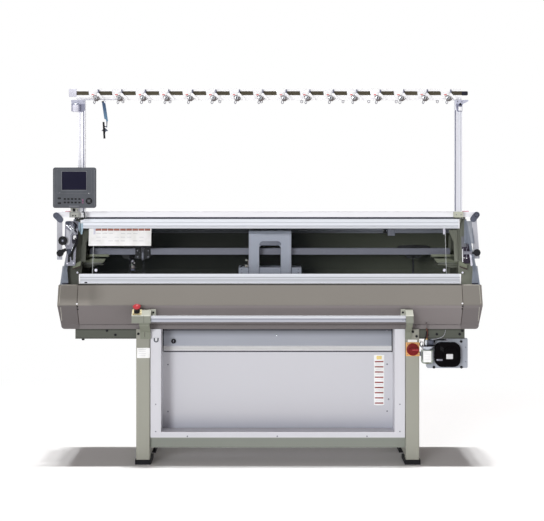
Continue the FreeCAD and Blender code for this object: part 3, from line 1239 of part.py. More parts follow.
def start_bar():
    """Start and stop bar: an oval extrusion with two grooves, bored for its pivots."""
    x0, x1 = LEFT_HEAD[1] + 0.4, RIGHT_HEAD[0] - 0.4
    half, tall = BAR_DEEP / 2, BAR_TALL / 2
    y0, y1, z0, z1 = BAR_Y - half, BAR_Y + half, BAR_Z - tall, BAR_Z + tall
    section = [(y0 + 3, z0), (y1, z0), (y1, z1), (y0 + 5, z1), (y0 + 1, z1 - 9), (y0 + 2, z1 - 10),
               (y0 + 2, z1 - 12), (y0, z1 - 13), (y0, z0 + 7)]
    bar = along_x(section, x0, x1, [2.0, 2.0, 3.0, 3.0, 0, 0, 0, 0, 3.0])
    for x in (x0 - 1, x1 - 15):
        bar = bar.cut(rod(x, BAR_Y, BAR_Z, AXIS_X, BAR_PIVOT + RUNNING, 16))
    return bar


def estop_plate():
    """Square plate under the emergency stop, flat on the sloping top."""
    out, seat = stop_axis()
    half = STOP_PLATE / 2
    plate = along_z(rectangle(-half, half, -half, half), 0, 2.0, 3.0)
    plate = plate.cut(rod(0, 0, -1, AXIS_Z, STOP_STEM + RUNNING, 4))
    plate.Placement = FreeCAD.Placement(seat, FreeCAD.Rotation(AXIS_X, math.degrees(math.atan2(-out.y, out.z))))
    return plate


def estop_button():
    """Mushroom head on its stem; the head is turned from a domed section."""
    out, seat = stop_axis()
    base = STOP_REACH - 9
    profile = [V(0, 0, -19), V(STOP_STEM, 0, -19), V(STOP_STEM, 0, base - 6), V(STOP_STEM + 3, 0, base - 6),
               V(STOP_STEM + 3, 0, base), V(STOP_HEAD - 3, 0, base), V(STOP_HEAD, 0, base + 4),
               V(STOP_HEAD, 0, base + 9)]
    rise = 8.0
    ball = (STOP_HEAD ** 2 + rise ** 2) / (2 * rise)
    top = V(0, 0, base + 9 + rise)
    half = math.asin(STOP_HEAD / ball) / 2
    shoulder = V(ball * math.sin(half), 0, top.z - ball + ball * math.cos(half))
    edges = [Part.LineSegment(a, b).toShape() for a, b in zip(profile[:-1], profile[1:])]
    edges.append(Part.Arc(profile[-1], shoulder, top).toShape())
    edges.append(Part.LineSegment(top, profile[0]).toShape())
    head = Part.Face(Part.Wire(edges)).revolve(V(0, 0, 0), AXIS_Z, 360)
    tilt = FreeCAD.Rotation(AXIS_Z, out)
    head.Placement = FreeCAD.Placement(seat, tilt)
    return head


# ---- main switch -----------------------------------------------------------------------------------
SWITCH_THICK = 6.0


def switch_plate():
    """Square plate of the main switch on the right leg, with its shaft."""
    half = SWITCH_PLATE / 2
    plate = along_y(rectangle(LEG_RIGHT - half, LEG_RIGHT + half, SWITCH_Z - half, SWITCH_Z + half),
                    LEG_FRONT - SWITCH_THICK, LEG_FRONT, 3.0)
    shaft = rod(LEG_RIGHT, LEG_FRONT - SWITCH_THICK - 12, SWITCH_Z, AXIS_Y, 5.0, 13)
    return join(plate, shaft)


def switch_handle():
    """Round rotary handle with a grip that points to the right."""
    y = LEG_FRONT - SWITCH_THICK - 0.3
    disc = rod(LEG_RIGHT, y - 14, SWITCH_Z, AXIS_Y, SWITCH_KNOB, 14)
    grip = along_y([(LEG_RIGHT - 14, SWITCH_Z - 7), (LEG_RIGHT + SWITCH_KNOB - 1, SWITCH_Z - 7),
                    (LEG_RIGHT + SWITCH_KNOB - 1, SWITCH_Z + 7), (LEG_RIGHT - 14, SWITCH_Z + 7)],
                   y - 28, y - 13, [6.0, 3.0, 3.0, 6.0])
    bore = rod(LEG_RIGHT, y - 12.2, SWITCH_Z, AXIS_Y, 5.0 + RUNNING, 13)
    return join(disc, grip).cut(bore)


# ---- blower and air unit ---------------------------------------------------------------------------
def blower_plate():
    """Mounting plate under the right beam, its right edge set back."""
    top = BED_FLOOR - SIDE_BEAM_TALL
    low = top - BLOWER_TALL
    plate = along_y(rectangle(BLOWER_LEFT, BLOWER_RIGHT - 30, low, top), BLOWER_Y,
                    BLOWER_Y + BLOWER_PLATE, [14.0, 0, 0, 6.0])
    edge = along_y(rectangle(BLOWER_RIGHT - 31, BLOWER_RIGHT, low, top), BLOWER_Y + 4,
                   BLOWER_Y + BLOWER_PLATE + 4, [0, 8.0, 8.0, 0])
    return join(plate, edge)


def blower_motor():
    """Black motor: a rounded square body with screw lobes round its rim and a round face, set off centre."""
    y0 = BLOWER_Y - MOTOR_DEEP
    wide, tall = MOTOR_RADIUS, MOTOR_RADIUS - 3
    body = along_y(rectangle(MOTOR_X - wide, MOTOR_X + wide, MOTOR_Z - tall, MOTOR_Z + tall), y0 + 8,
                   BLOWER_Y, MOTOR_CORNER)
    face = rod(MOTOR_X + 18, y0, MOTOR_Z, AXIS_Y, MOTOR_RADIUS * 0.62, 9)
    lobes = []
    for degrees in (-14, 22, 62, 118, 158, 194, 242, 298):
        angle = math.radians(degrees)
        lobes.append(rod(MOTOR_X + (MOTOR_RADIUS - 1) * math.cos(angle), y0 + 14,
                         MOTOR_Z + (MOTOR_RADIUS - 1) * math.sin(angle), AXIS_Y, MOTOR_LOBE,
                         MOTOR_DEEP - 14))
    return join(body, face, *lobes)


def air_regulator():
    """Filter regulator: inlet fitting and stem, domed top, bowl, and the bracket to the leg."""
    x, y = AIR_X, AIR_Y
    bowl_low, bowl_top, dome_top, fitting = 553.0, 628.0, 650.0, FITTING_TOP
    bowl = along_z(rectangle(x - AIR_RADIUS, x + AIR_RADIUS, y - 26, y + 26), bowl_low + 8, bowl_top, 14.0)
    foot = rod(x, y, bowl_low, AXIS_Z, 22.0, 9)
    dome_profile = [V(0, 0, bowl_top), V(36, 0, bowl_top), V(36, 0, bowl_top + 8), V(12, 0, dome_top),
                    V(0, 0, dome_top)]
    dome = Part.Face(Part.makePolygon(dome_profile + dome_profile[:1])).revolve(V(0, 0, 0), AXIS_Z, 360)
    dome.translate(V(x, y, 0))
    stem = rod(x, y, dome_top - 1, AXIS_Z, 6.0, fitting - dome_top - 8)
    nut = rod(x, y, fitting - 10, AXIS_Z, 9.0, 10)
    leg_face = LEG_RIGHT + LEG / 2
    strap = box(leg_face, x - 20, y + 6, y + 12, 596, 622)
    return join(bowl, foot, dome, stem, nut, strap)


def hose_route():
    """Route of the air hose, square out of the front cover's lower face and down to the regulator."""
    run, drop = JOINT_Y, RIDGE_Z - JOINT_Z
    length = math.hypot(run, drop)
    out = V(0, -drop / length, -run / length)
    start = V(AIR_X - 5, HOSE_Y, RIDGE_Z - HOSE_Y * drop / run)
    inlet = V(AIR_X, AIR_Y, FITTING_TOP)
    return [start, start + out * 12, V(AIR_X - 5, AIR_Y - 13, 742.0), V(AIR_X, AIR_Y, FITTING_TOP + 24), inlet]


def tube_along(route, radius):
    """Round tube along straight runs joined by tangent arcs."""
    edges = []
    here = route[0]
    for i in range(1, len(route) - 1):
        back, ahead = route[i - 1] - route[i], route[i + 1] - route[i]
        short = min(back.Length, ahead.Length)
        half = back.getAngle(ahead) / 2
        bend = 0.45 * short * math.tan(half)
        start = route[i] + back.normalize() * 0.45 * short
        end = route[i] + ahead.normalize() * 0.45 * short
        middle = route[i] + (back.normalize() + ahead.normalize()).normalize() * (
            bend / math.sin(half) - bend)
        edges.append(Part.LineSegment(here, start).toShape())
        edges.append(Part.Arc(start, middle, end).toShape())
        print("bend radius", round(bend, 1), "mm")
        here = end
    edges.append(Part.LineSegment(here, route[-1]).toShape())
    path = Part.Wire(edges)
    ring = Part.Wire([Part.makeCircle(radius, route[0], route[1] - route[0])])
    tube = path.makePipeShell([ring], True, False)
    print("tube volume over section times length",
          round(tube.Volume / (math.pi * radius ** 2 * path.Length), 4))
    return tube


def air_hose():
    """Hose held between the front cover and the regulator."""
    return tube_along(hose_route(), HOSE)


# ---- belt drive ------------------------------------------------------------------------------------
MOTOR_PLATE_Y = BELT_Y + BELT_WIDE + 6


def drive_belt():
    """Closed belt round the two pulleys."""
    outer = capsule(-PULLEY_X, PULLEY_Z, PULLEY_X, PULLEY_Z, PULLEY + BELT_THICK, BELT_Y, BELT_Y + BELT_WIDE)
    inner = capsule(-PULLEY_X, PULLEY_Z, PULLEY_X, PULLEY_Z, PULLEY, BELT_Y - 1, BELT_Y + BELT_WIDE + 1)
    return outer.cut(inner)


def pulley(x, bore):
    """Pulley between the belt's runs, a running gap inside the belt."""
    wheel = rod(x, BELT_Y, PULLEY_Z, AXIS_Y, PULLEY - 0.3, BELT_WIDE)
    return wheel.cut(rod(x, BELT_Y - 5, PULLEY_Z, AXIS_Y, bore, BELT_WIDE + 10)) if bore else wheel


def drive_pulley():
    """Left pulley with the motor's shaft."""
    shaft = rod(-PULLEY_X, BELT_Y + BELT_WIDE - 1, PULLEY_Z, AXIS_Y, DRIVE_SHAFT,
                MOTOR_PLATE_Y + DRIVE_PLATE + 20 - BELT_Y - BELT_WIDE)
    return join(pulley(-PULLEY_X, 0), shaft)


def idler_pulley():
    """Right pulley, free on its pin."""
    return pulley(PULLEY_X, DRIVE_SHAFT + RUNNING)


def drive_motor():
    """Motor behind its plate, bored for the shaft."""
    y0 = MOTOR_PLATE_Y + DRIVE_PLATE
    body = along_y(rectangle(-PULLEY_X - 40, -PULLEY_X + 40, PULLEY_Z - 40, PULLEY_Z + 40), y0, y0 + 52, 10.0)
    return body.cut(rod(-PULLEY_X, y0 - 1, PULLEY_Z, AXIS_Y, DRIVE_SHAFT + RUNNING, 24))


# ---- all pieces ------------------------------------------------------------------------------------
PIECES = {
    "left_leg_frame": lambda: leg_frame(LEG_LEFT),
    "right_leg_frame": lambda: leg_frame(LEG_RIGHT),
    "foot_pads": foot_pads,
    "stand_beams": stand_beams,
    "panel_frame": panel_frame,
    "chute_panel": chute_panel,
    "takedown_flap": takedown_flap,
    "flap_latch": flap_latch,
    "takedown_roller": takedown_roller,
    "front_cover": front_cover,
    "rear_cover": lambda: behind(front_cover()),
    "end_covers": end_covers,
    "belly_pan": belly_pan,
    "end_frames": end_frames,
    "side_covers": side_covers,
    "needle_beds": needle_beds,
    "bed_castings": bed_castings,
    "carrier_rails": carrier_rails,
    "rail_brackets": rail_brackets,
    "feeder_front": lambda: feeder(0, -CARRIER_HALF + 298.0, 130.0),
    "feeder_second": lambda: feeder(1, -CARRIER_HALF + 222.0, 110.0),
    "feeder_rear": lambda: feeder(2, CARRIER_HALF - 203.0, 190.0),
    "cam_boxes": cam_boxes,
    "carriage_bridge": carriage_bridge,
    "window_rails": window_rails,
    "window_pane": window_pane,
    "pane_fixings": pane_fixings,
    "back_wall": back_wall,
    "guide_beam": guide_beam,
    "yarn_table": yarn_table,
    "table_end_caps": table_end_caps,
    "side_strips": side_strips,
    "stand_posts": stand_posts,
    "stand_fittings": stand_fittings,
    "crossbeam": crossbeam,
    "crossbeam_trim": crossbeam_trim,
    "yarn_tension_units": yarn_tension_units,
    "tool_strap": tool_strap,
    "threading_tool": threading_tool,
    "monitor_housing": monitor_housing,
    "monitor_screen": monitor_screen,
    "monitor_neck": monitor_neck,
    "side_tension_brackets": side_tension_brackets,
    "left_tension_knob": left_tension_knob,
    "left_lever": left_lever,
    "right_lever": right_lever,
    "estop_bracket": estop_bracket,
    "right_bar_bracket": right_bar_bracket,
    "start_bar": start_bar,
    "estop_button": estop_button,
    "yellow_plates": lambda: group(switch_plate(), estop_plate()),
    "switch_handle": switch_handle,
    "blower_plate": blower_plate,
    "blower_motor": blower_motor,
    "air_regulator": air_regulator,
    "air_hose": air_hose,
    "drive_belt": drive_belt,
    "drive_pulley": drive_pulley,
    "idler_pulley": idler_pulley,
    "drive_motor": drive_motor,
}

os.makedirs("parts", exist_ok=True)
shapes = {name: make() for name, make in PIECES.items()}
bounds = FreeCAD.BoundBox()
for shape in shapes.values():
    bounds.add(shape.BoundBox)
ORIGIN = V((bounds.XMin + bounds.XMax) / 2, (bounds.YMin + bounds.YMax) / 2, bounds.ZMin)
for name, shape in shapes.items():
    placed = shape.copy()
    placed.translate(ORIGIN * -1)
    placed.exportStep(f"parts/{name}.step")
print("pieces", len(shapes), "box", [round(s, 1) for s in (bounds.XLength, bounds.YLength, bounds.ZLength)],
      "origin", [round(c, 2) for c in ORIGIN])
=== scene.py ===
"""Flat knitting machine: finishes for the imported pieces, the small pieces the photograph shows on them, and
the stage.

Lengths in this file are millimetres in the machine's own measure: x = 0 is the middle of the needle beds,
y = 0 is the ridge of the front cover, y grows away from the operator, and z = 0 is the floor.
"""

import math

import bpy
import numpy as np
from bpy.props import FloatProperty, FloatVectorProperty, IntProperty, PointerProperty
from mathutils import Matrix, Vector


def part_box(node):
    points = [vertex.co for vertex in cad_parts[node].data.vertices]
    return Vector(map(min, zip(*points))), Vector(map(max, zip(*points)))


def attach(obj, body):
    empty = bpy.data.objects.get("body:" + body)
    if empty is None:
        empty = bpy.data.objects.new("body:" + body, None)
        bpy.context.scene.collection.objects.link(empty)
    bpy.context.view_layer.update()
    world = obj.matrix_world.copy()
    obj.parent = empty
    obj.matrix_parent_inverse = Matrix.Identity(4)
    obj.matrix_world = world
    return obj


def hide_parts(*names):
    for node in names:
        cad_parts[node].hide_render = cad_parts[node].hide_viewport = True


bl_info = {
    "name": "Flat Knitting Machine",
    "version": (1, 0, 0),
    "blender": (4, 5, 0),
    "location": "View3D > Sidebar > Knitting",
    "description": "Finishes, fittings and stage for a flat knitting machine",
    "category": "Object",
}

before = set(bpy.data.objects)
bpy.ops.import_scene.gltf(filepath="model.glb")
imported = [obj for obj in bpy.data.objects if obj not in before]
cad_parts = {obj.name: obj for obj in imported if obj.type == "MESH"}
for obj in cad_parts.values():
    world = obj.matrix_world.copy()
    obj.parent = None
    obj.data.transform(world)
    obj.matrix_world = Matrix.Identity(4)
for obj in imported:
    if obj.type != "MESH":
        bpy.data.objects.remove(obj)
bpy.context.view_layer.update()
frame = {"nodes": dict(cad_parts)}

# The needle gap lies 330 mm behind the cover's ridge, and the beds are centred on x = 0.
BEDS_LOW, BEDS_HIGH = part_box("needle_beds")
GAP_Y = 330.0
SHIFT = np.array([(BEDS_LOW.x + BEDS_HIGH.x) / 2, (BEDS_LOW.y + BEDS_HIGH.y) / 2 - GAP_Y / 1000, 0.0])

PANE_TILT = math.degrees(math.atan2(69.0, 248.0))
# The front cover's section: its ridge's height, and how far each facet runs back and how high it is.
RIDGE_Z = 884.0
UPPER_BACK, UPPER_HIGH, LOWER_BACK, LOWER_HIGH = 56.0, 109.0, 105.0, 114.0
UPPER_TILT = math.degrees(math.atan2(UPPER_BACK, UPPER_HIGH))
LOWER_TILT = -math.degrees(math.atan2(LOWER_BACK, LOWER_HIGH))
SLOPE_TILT = math.degrees(math.atan2(96.0, 358.0))
STOP_TILT = math.degrees(math.atan2(0.8502, 0.5265))


def tone(red, green, blue):
    """Linear colour of an 8-bit display colour: ((c + 0.055) / 1.055) to the power 2.4."""
    shares = np.array([red, green, blue]) / 255.0
    linear = np.where(shares <= 0.04045, shares / 12.92, ((shares + 0.055) / 1.055) ** 2.4)
    return tuple(float(c) for c in linear)


def pane_y(z):
    """Front face of the pane at a height."""
    return 93.0 + (z - 1050.0) * 69.0 / 248.0


def slope_y(z):
    """Front plane of the machine's shoulders at a height."""
    return 56.0 + (z - 993.0) * 96.0 / 358.0


def cover_face(z):
    """Depth and tilt of the front cover at a height.

    The depth is the distance from the ridge times the facet's run back over its height; the tilt's tangent is
    that ratio.
    """
    if z > RIDGE_Z:
        return (z - RIDGE_Z) * UPPER_BACK / UPPER_HIGH, UPPER_TILT
    return (RIDGE_Z - z) * LOWER_BACK / LOWER_HIGH, LOWER_TILT


# ---- settings --------------------------------------------------------------------------------------
def colour_setting(label, description, value):
    """A colour property with its default."""
    return FloatVectorProperty(name=label, description=description, subtype="COLOR", size=3, min=0.0,
        max=1.0, default=value)


class CoverSettings(bpy.types.PropertyGroup):
    """Colours of the covers and of what lies behind the window."""
    hull: colour_setting("Hull paint", "Powder coat of the long covers", tone(125, 121, 115))
    # Below the ridge the coat takes a purple tint: a painted reflection of the floor.
    hull_reflection_below: colour_setting("Hull paint below", "Tone that the coat drifts to below the ridge",
        tone(128, 122, 122))
    shield: colour_setting("Side shield", "Smoky plastic of the side covers", tone(134, 142, 156))
    wall: colour_setting("Inner wall", "Dark sheet behind the carriage", tone(47, 49, 41))
    inner: colour_setting("Inner ends", "Olive enamel inside the ends", tone(120, 123, 112))


class StandSettings(bpy.types.PropertyGroup):
    """Colours of the stand and the take-down bay."""
    frame: colour_setting("Frame enamel", "Grey-green enamel of the legs", tone(162, 162, 151))
    panel: colour_setting("Panel", "Powder coat of the chute panel and stiles", tone(216, 216, 222))
    flap: colour_setting("Flap", "Brushed sheet of the flap", tone(156, 159, 168))


class MetalSettings(bpy.types.PropertyGroup):
    """Colours of the rails, the carriage and the pressed steel."""
    rail: colour_setting("Rails", "Anodised aluminium of the rails", tone(226, 229, 236))
    carriage: colour_setting("Carriage", "Blue-grey enamel of the carriage", tone(160, 166, 179))
    steel: colour_setting("Steel", "Pressed steel of the tension brackets", tone(128, 128, 138))


class StandTopSettings(bpy.types.PropertyGroup):
    """The row of yarn tension units on the crossbeam."""
    first: FloatProperty(name="First unit",
        description="Place of the leftmost tension unit along the beam, in mm", default=-963.0, unit="NONE")
    pitch: FloatProperty(name="Pitch", description="Distance from unit to unit, in mm", default=129.2,
        min=80.0, unit="NONE")
    count: IntProperty(name="Units", description="Number of tension units", default=16, min=1, max=24)


class StageSettings(bpy.types.PropertyGroup):
    """Camera distance and the strength of the lights."""
    distance: FloatProperty(name="Camera distance", description="From the cover's ridge to the lens",
        default=9.0, min=3.0, unit="LENGTH")
    height: FloatProperty(name="Camera height", description="Of the level line of sight", default=1.567,
        min=0.2, unit="LENGTH")
    overhead: FloatProperty(name="Overhead lamps", description="Strength of the lamps straight above",
        default=2.75, min=0.0)
    front: FloatProperty(name="Front light", description="Strength of the broad low light in front",
        default=1.4, min=0.0)
    ambient: FloatProperty(name="Room light", description="Strength of the light from all round",
        default=0.2, min=0.0)


class MachineSettings(bpy.types.PropertyGroup):
    """Everything that a user would change."""
    covers: PointerProperty(type=CoverSettings)
    stand: PointerProperty(type=StandSettings)
    metal: PointerProperty(type=MetalSettings)
    yarn: PointerProperty(type=StandTopSettings)
    stage: PointerProperty(type=StageSettings)


# ---- shader maths ----------------------------------------------------------------------------------
# How noise is stretched into streaks along x or z, and black.
ALONG_X, ALONG_Z = (0.012, 1, 1), (1, 1, 0.012)
BLACK = (0, 0, 0)


class Value:
    """A shader socket; each operator on it adds one Math node."""

    def __init__(self, finish, socket):
        self.finish, self.socket = finish, socket

    def operate(self, operation, first, second=0, clamp=False):
        node = self.finish.add("ShaderNodeMath", {"operation": operation, "use_clamp": clamp},
            {0: first, 1: second})
        return node[0]

    def __add__(self, other):
        return self.operate("ADD", self, other)

    def __sub__(self, other):
        return self.operate("SUBTRACT", self, other)

    def __rsub__(self, other):
        return self.operate("SUBTRACT", other, self)

    def __mul__(self, other):
        return self.operate("MULTIPLY", self, other)

    def __mod__(self, other):
        return self.operate("FLOORED_MODULO", self, other)

    def __abs__(self):
        return self.operate("ABSOLUTE", self)

    def held(self):
        """The value kept between 0 and 1."""
        return self.operate("ADD", self, 0, clamp=True)

    __radd__ = __add__


class Outputs:
    """A node's output sockets as values, by name or number."""

    def __init__(self, finish, node):
        self.finish, self.node = finish, node

    def __getitem__(self, name):
        return Value(self.finish, self.node.outputs[name])


class Finish:
    """One material: a Principled shader and the nodes that feed it."""

    def __init__(self, name):
        self.material = bpy.data.materials.new(name)
        self.material.use_nodes = True
        self.tree = self.material.node_tree
        self.tree.nodes.clear()
        self.shader = self.add("ShaderNodeBsdfPrincipled").node
        self.output = self.add("ShaderNodeOutputMaterial").node
        self.link(self.shader, self.output, "Surface")

    def link(self, source, target, socket):
        """Link from a node's first output to a socket of another."""
        self.tree.links.new(source.outputs[0], target.inputs[socket])

    def add(self, kind, settings=None, inputs=None):
        """Any node: its settings are set first, then its sockets get values or links."""
        node = self.tree.nodes.new(kind)
        for name, value in (settings or {}).items():
            setattr(node, name, value)
        for name, value in (inputs or {}).items():
            self.feed(node.inputs[name], value)
        return Outputs(self, node)

    def feed(self, socket, value):
        """A link from a value, or the number or colour itself."""
        if isinstance(value, Value):
            self.tree.links.new(value.socket, socket)
        elif isinstance(value, tuple) and socket.type == "RGBA":
            socket.default_value = (*value[:3], 1)
        else:
            socket.default_value = value

    def place(self, stretch=(1, 1, 1)):
        """Object coordinates in metres, stretched along the axes."""
        where = self.add("ShaderNodeTexCoord")["Object"]
        if stretch == (1, 1, 1):
            return where
        return self.add("ShaderNodeMapping", {}, {"Vector": where, "Scale": stretch})["Vector"]

    def axis(self, name):
        """One object coordinate, in metres."""
        return self.add("ShaderNodeSeparateXYZ", {}, {"Vector": self.place()})[name]

    def noise(self, scale, detail=2, stretch=(1, 1, 1)):
        """Noise from 0 to 1, scale features to the metre."""
        return self.add("ShaderNodeTexNoise", {}, {"Vector": self.place(stretch), "Scale": scale,
            "Detail": detail})["Fac"]

    def rise(self, value, low, high):
        """0 below low, 1 above high, smooth between."""
        return self.add("ShaderNodeMapRange", {"interpolation_type": "SMOOTHSTEP"},
            {"Value": value, "From Min": low, "From Max": high})["Result"]

    def fall(self, value, low, high):
        """1 below low, 0 above high, smooth between."""
        return 1 - self.rise(value, low, high)

    def band(self, value, low, high, edge):
        """1 from low to high and 0 outside, each edge smooth over twice its own width."""
        return self.rise(value, low - edge, low + edge) * self.fall(value, high - edge, high + edge)

    def stripes(self, name, count, low, high):
        """Even stripes, count to the metre: how far the fraction of coordinate times count is from a half."""
        return self.rise(abs(self.axis(name) * count % 1 - 0.5), low, high)

    def streaks(self, scale=900, stretch=ALONG_X):
        """Fine streaks along the drawing direction."""
        return self.noise(scale, 3, stretch)

    def seen(self):
        """1 for what the camera sees, straight, mirrored or through glass."""
        path = self.add("ShaderNodeLightPath")
        return (path["Is Camera Ray"] + path["Is Glossy Ray"] + path["Is Transmission Ray"]).held()

    def mix_shaders(self, share, first, second):
        """Two shaders mixed into the output."""
        both = self.add("ShaderNodeMixShader", {}, {0: share}).node
        self.link(first, both, 1)
        self.link(second, both, 2)
        self.link(both, self.output, "Surface")

    def between(self, first, second, share):
        """Colour from first to second as share goes from 0 to 1."""
        return self.add("ShaderNodeMix", {"data_type": "RGBA"}, {0: share, 6: first, 7: second})[2]

    def surface(self, colour, roughness=0.5, metallic=0, relief=None, depth=0.0004, mirror=0.2, **constants):
        """Feeds the shader; relief is a height for the bump, mirror the gloss level of what isn't metal."""
        self.feed(self.shader.inputs["Specular IOR Level"], mirror)
        self.feed(self.shader.inputs["Base Color"], colour)
        self.feed(self.shader.inputs["Roughness"], roughness)
        self.feed(self.shader.inputs["Metallic"], metallic)
        if relief is not None:
            bump = self.add("ShaderNodeBump", {}, {"Strength": 0.5, "Distance": depth, "Height": relief})
            self.feed(self.shader.inputs["Normal"], bump["Normal"])
        for name, value in constants.items():
            self.feed(self.shader.inputs[name.replace("_", " ").title()], value)
        return self.material


def shade(colour, factor):
    """The colour times a factor, kept below 1."""
    return tuple(min(1, c * factor) for c in colour)


def powder_coat(name, colour, drift=0.93, rough=0.5, grain=700, depth=0.00025):
    """Powder coat: slow drift of tone, fine orange peel in relief and sheen."""
    finish = Finish(name)
    peel, slow = finish.noise(grain, 3), finish.noise(2.2, 4)
    share = finish.rise(slow * 0.75 + peel * 0.25, 0.35, 0.65)
    return finish.surface(finish.between(shade(colour, drift), colour, share), rough + (peel - 0.5) * 0.2,
        relief=peel, depth=depth)


def moulded(name, colour, rough=0.45, grain=1400, depth=0.00015, coat=0, mirror=0.14):
    """Moulded plastic with a fine grain and a trace of handling in its sheen."""
    finish = Finish(name)
    fine, slow = finish.noise(grain, 2), finish.noise(14, 3)
    share = finish.rise(slow, 0.35, 0.65)
    return finish.surface(finish.between(shade(colour, 0.9), shade(colour, 1.06), share),
        rough + (slow - 0.5) * 0.25 + (fine - 0.5) * 0.1, relief=fine, depth=depth, mirror=mirror,
        Coat_Weight=coat)


def brushed(name, colour, rough=0.32, metallic=0.55, along=ALONG_X, streak=900):
    """Drawn metal: noise stretched along the drawing direction gives fine streaks."""
    finish = Finish(name)
    streaks, slow = finish.streaks(streak, along), finish.noise(3, 3)
    share = finish.rise(streaks * 0.7 + slow * 0.3, 0.3, 0.7)
    return finish.surface(finish.between(shade(colour, 0.93), colour, share), rough + (streaks - 0.5) * 0.2,
        metallic, relief=streaks, depth=0.0001)


def hull_finish(name):
    """The hull's coat, painted with light and shade. Below the ridge it has a purple tint that is a painted
    reflection of the floor, a painted highlight in the band just under the ridge, a tone that darkens towards
    the left end, and painted shadow of the start bar behind it. Above the ridge it has painted light at the
    left end, where the monitor's shadow falls. The end covers are darker, more so below the ridge, and the
    top lip has painted shade in the gap under the handle rail.
    """
    covers = bpy.context.scene.knitting.covers
    finish = Finish(name)
    peel, slow = finish.noise(650, 3), finish.noise(1.8, 4)
    high, low = tuple(covers.hull), tuple(covers.hull_reflection_below)
    above = finish.rise(finish.axis("Z"), 0.878, 0.888)
    aside = abs(finish.axis("X") - float(SHIFT[0]) - 0.045)
    # Painted shadow of the start bar on the lower facet, along the bar's length.
    bar_shadow = finish.fall(finish.axis("Z"), 0.785, 0.791) * finish.fall(aside, 0.67, 0.70)
    # Below the ridge: a painted highlight in the band just under it, then a tone that darkens towards the
    # left end.
    below = finish.between(low, shade(low, 1.14), finish.rise(finish.axis("Z"), 0.866, 0.870))
    below = finish.between(shade(low, 0.86), below, finish.rise(finish.axis("X"), -0.75, -0.60))
    colour = finish.between(finish.between(below, shade(low, 0.81), bar_shadow), high, above)
    ends = finish.rise(abs(finish.axis("X") - float(SHIFT[0])), 1.0522, 1.0528)
    # Painted light above the ridge at the left end, where the monitor's shadow falls.
    left = finish.fall(finish.axis("X"), -0.985, -0.945)
    colour = finish.between(colour, shade(high, 1.25), left * above)
    # The end covers are darker, more so below the ridge.
    colour = finish.between(colour, BLACK, ends * (0.26 - above * 0.16))
    # Painted shade along the top lip, in the gap under the handle rail.
    lip = finish.rise(finish.axis("Z"), 0.9888, 0.9905) * (1 - ends)
    colour = finish.between(colour, tone(58, 56, 52), lip)
    share = finish.rise(slow * 0.7 + peel * 0.3, 0.35, 0.65)
    worn = finish.between(colour, BLACK, 0.045)
    return finish.surface(finish.between(worn, colour, share), 0.52 + (peel - 0.5) * 0.2, relief=peel,
        depth=0.0002)


def wall_finish(name):
    """Dark sheet that is lighter to the right, where light reaches in, with faint roll marks."""
    covers = bpy.context.scene.knitting.covers
    finish = Finish(name)
    dark = tuple(covers.wall)
    share = finish.rise(finish.axis("X"), 0.05, 0.8)
    marks = finish.noise(5, 4, (0.25, 1, 1.6))
    lit = finish.between(shade(dark, 0.5), shade(dark, 2.9), share)
    return finish.surface(finish.between(lit, shade(dark, 0.8), finish.rise(marks, 0.35, 0.85) * 0.35),
        0.62 + (marks - 0.5) * 0.2, relief=finish.noise(500), depth=0.0002)


def chute_finish(name):
    """Light powder coat that greys and turns bluish towards its foot: painted shade of the sill, low down."""
    stand = bpy.context.scene.knitting.stand
    finish = Finish(name)
    colour = tuple(stand.panel)
    peel, slow = finish.noise(700, 3), finish.noise(1.6, 3)
    height = finish.rise(finish.axis("Z") + (slow - 0.5) * 0.03, 0.12, 0.28)
    return finish.surface(finish.between(tone(168, 171, 185), shade(colour, 0.92), height),
        0.5 + (peel - 0.5) * 0.15, relief=peel, depth=0.0002)


def bed_finish(name):
    """Ground steel with the fine needle tricks between the coarse slots."""
    finish = Finish(name)
    tricks = finish.stripes("X", 500, 0.2, 0.3)
    streaks = finish.noise(700, 2, (1, 0.02, 0.02))
    return finish.surface(finish.between(tone(70, 72, 76), tone(190, 192, 198), tricks),
        0.3 + (streaks - 0.5) * 0.3, 0.8, relief=tricks, depth=0.0006)


def belt_finish(name):
    """Toothed rubber belt: even ribs across its run."""
    finish = Finish(name)
    ribs = finish.stripes("X", 200, 0.15, 0.3)
    return finish.surface(finish.between(tone(22, 22, 24), tone(44, 44, 46), ribs), 0.7, relief=ribs,
        depth=0.001)


def rail_finish(name):
    """Drawn and anodised section along x: fine streaks, painted shade in its grooves and on its webs, and a
    band of painted shade along its foot, in the gap above the cover.
    """
    light = tuple(bpy.context.scene.knitting.metal.rail)
    finish = Finish(name)
    streaks, height = finish.streaks(), finish.axis("Z")
    bands = streaks * 0.12
    # Bands of painted shade in the grooves and on the webs: bottom and top in metres, then the share of the
    # shade.
    for low, high, depth in ((1.0095, 1.0250, 0.62), (1.0284, 1.0350, 1), (1.0385, 1.0470, 0.2),
            (1.2980, 1.3004, 1), (1.3004, 1.3120, 0.45), (1.3120, 1.3172, 0.5), (1.3282, 1.3346, 0.4)):
        bands = bands + finish.band(height, low, high, 0.0009) * depth
    colour = finish.between(light, shade(light, 0.56), bands.held())
    # Painted shade along the foot, in the gap above the cover.
    foot = finish.rise(height, 0.97, 0.98) * finish.fall(height, 0.9970, 0.9982)
    colour = finish.between(colour, tone(92, 90, 80), foot)
    return finish.surface(colour, 0.4 + (streaks - 0.5) * 0.2, 0.15, relief=streaks, depth=0.0001)


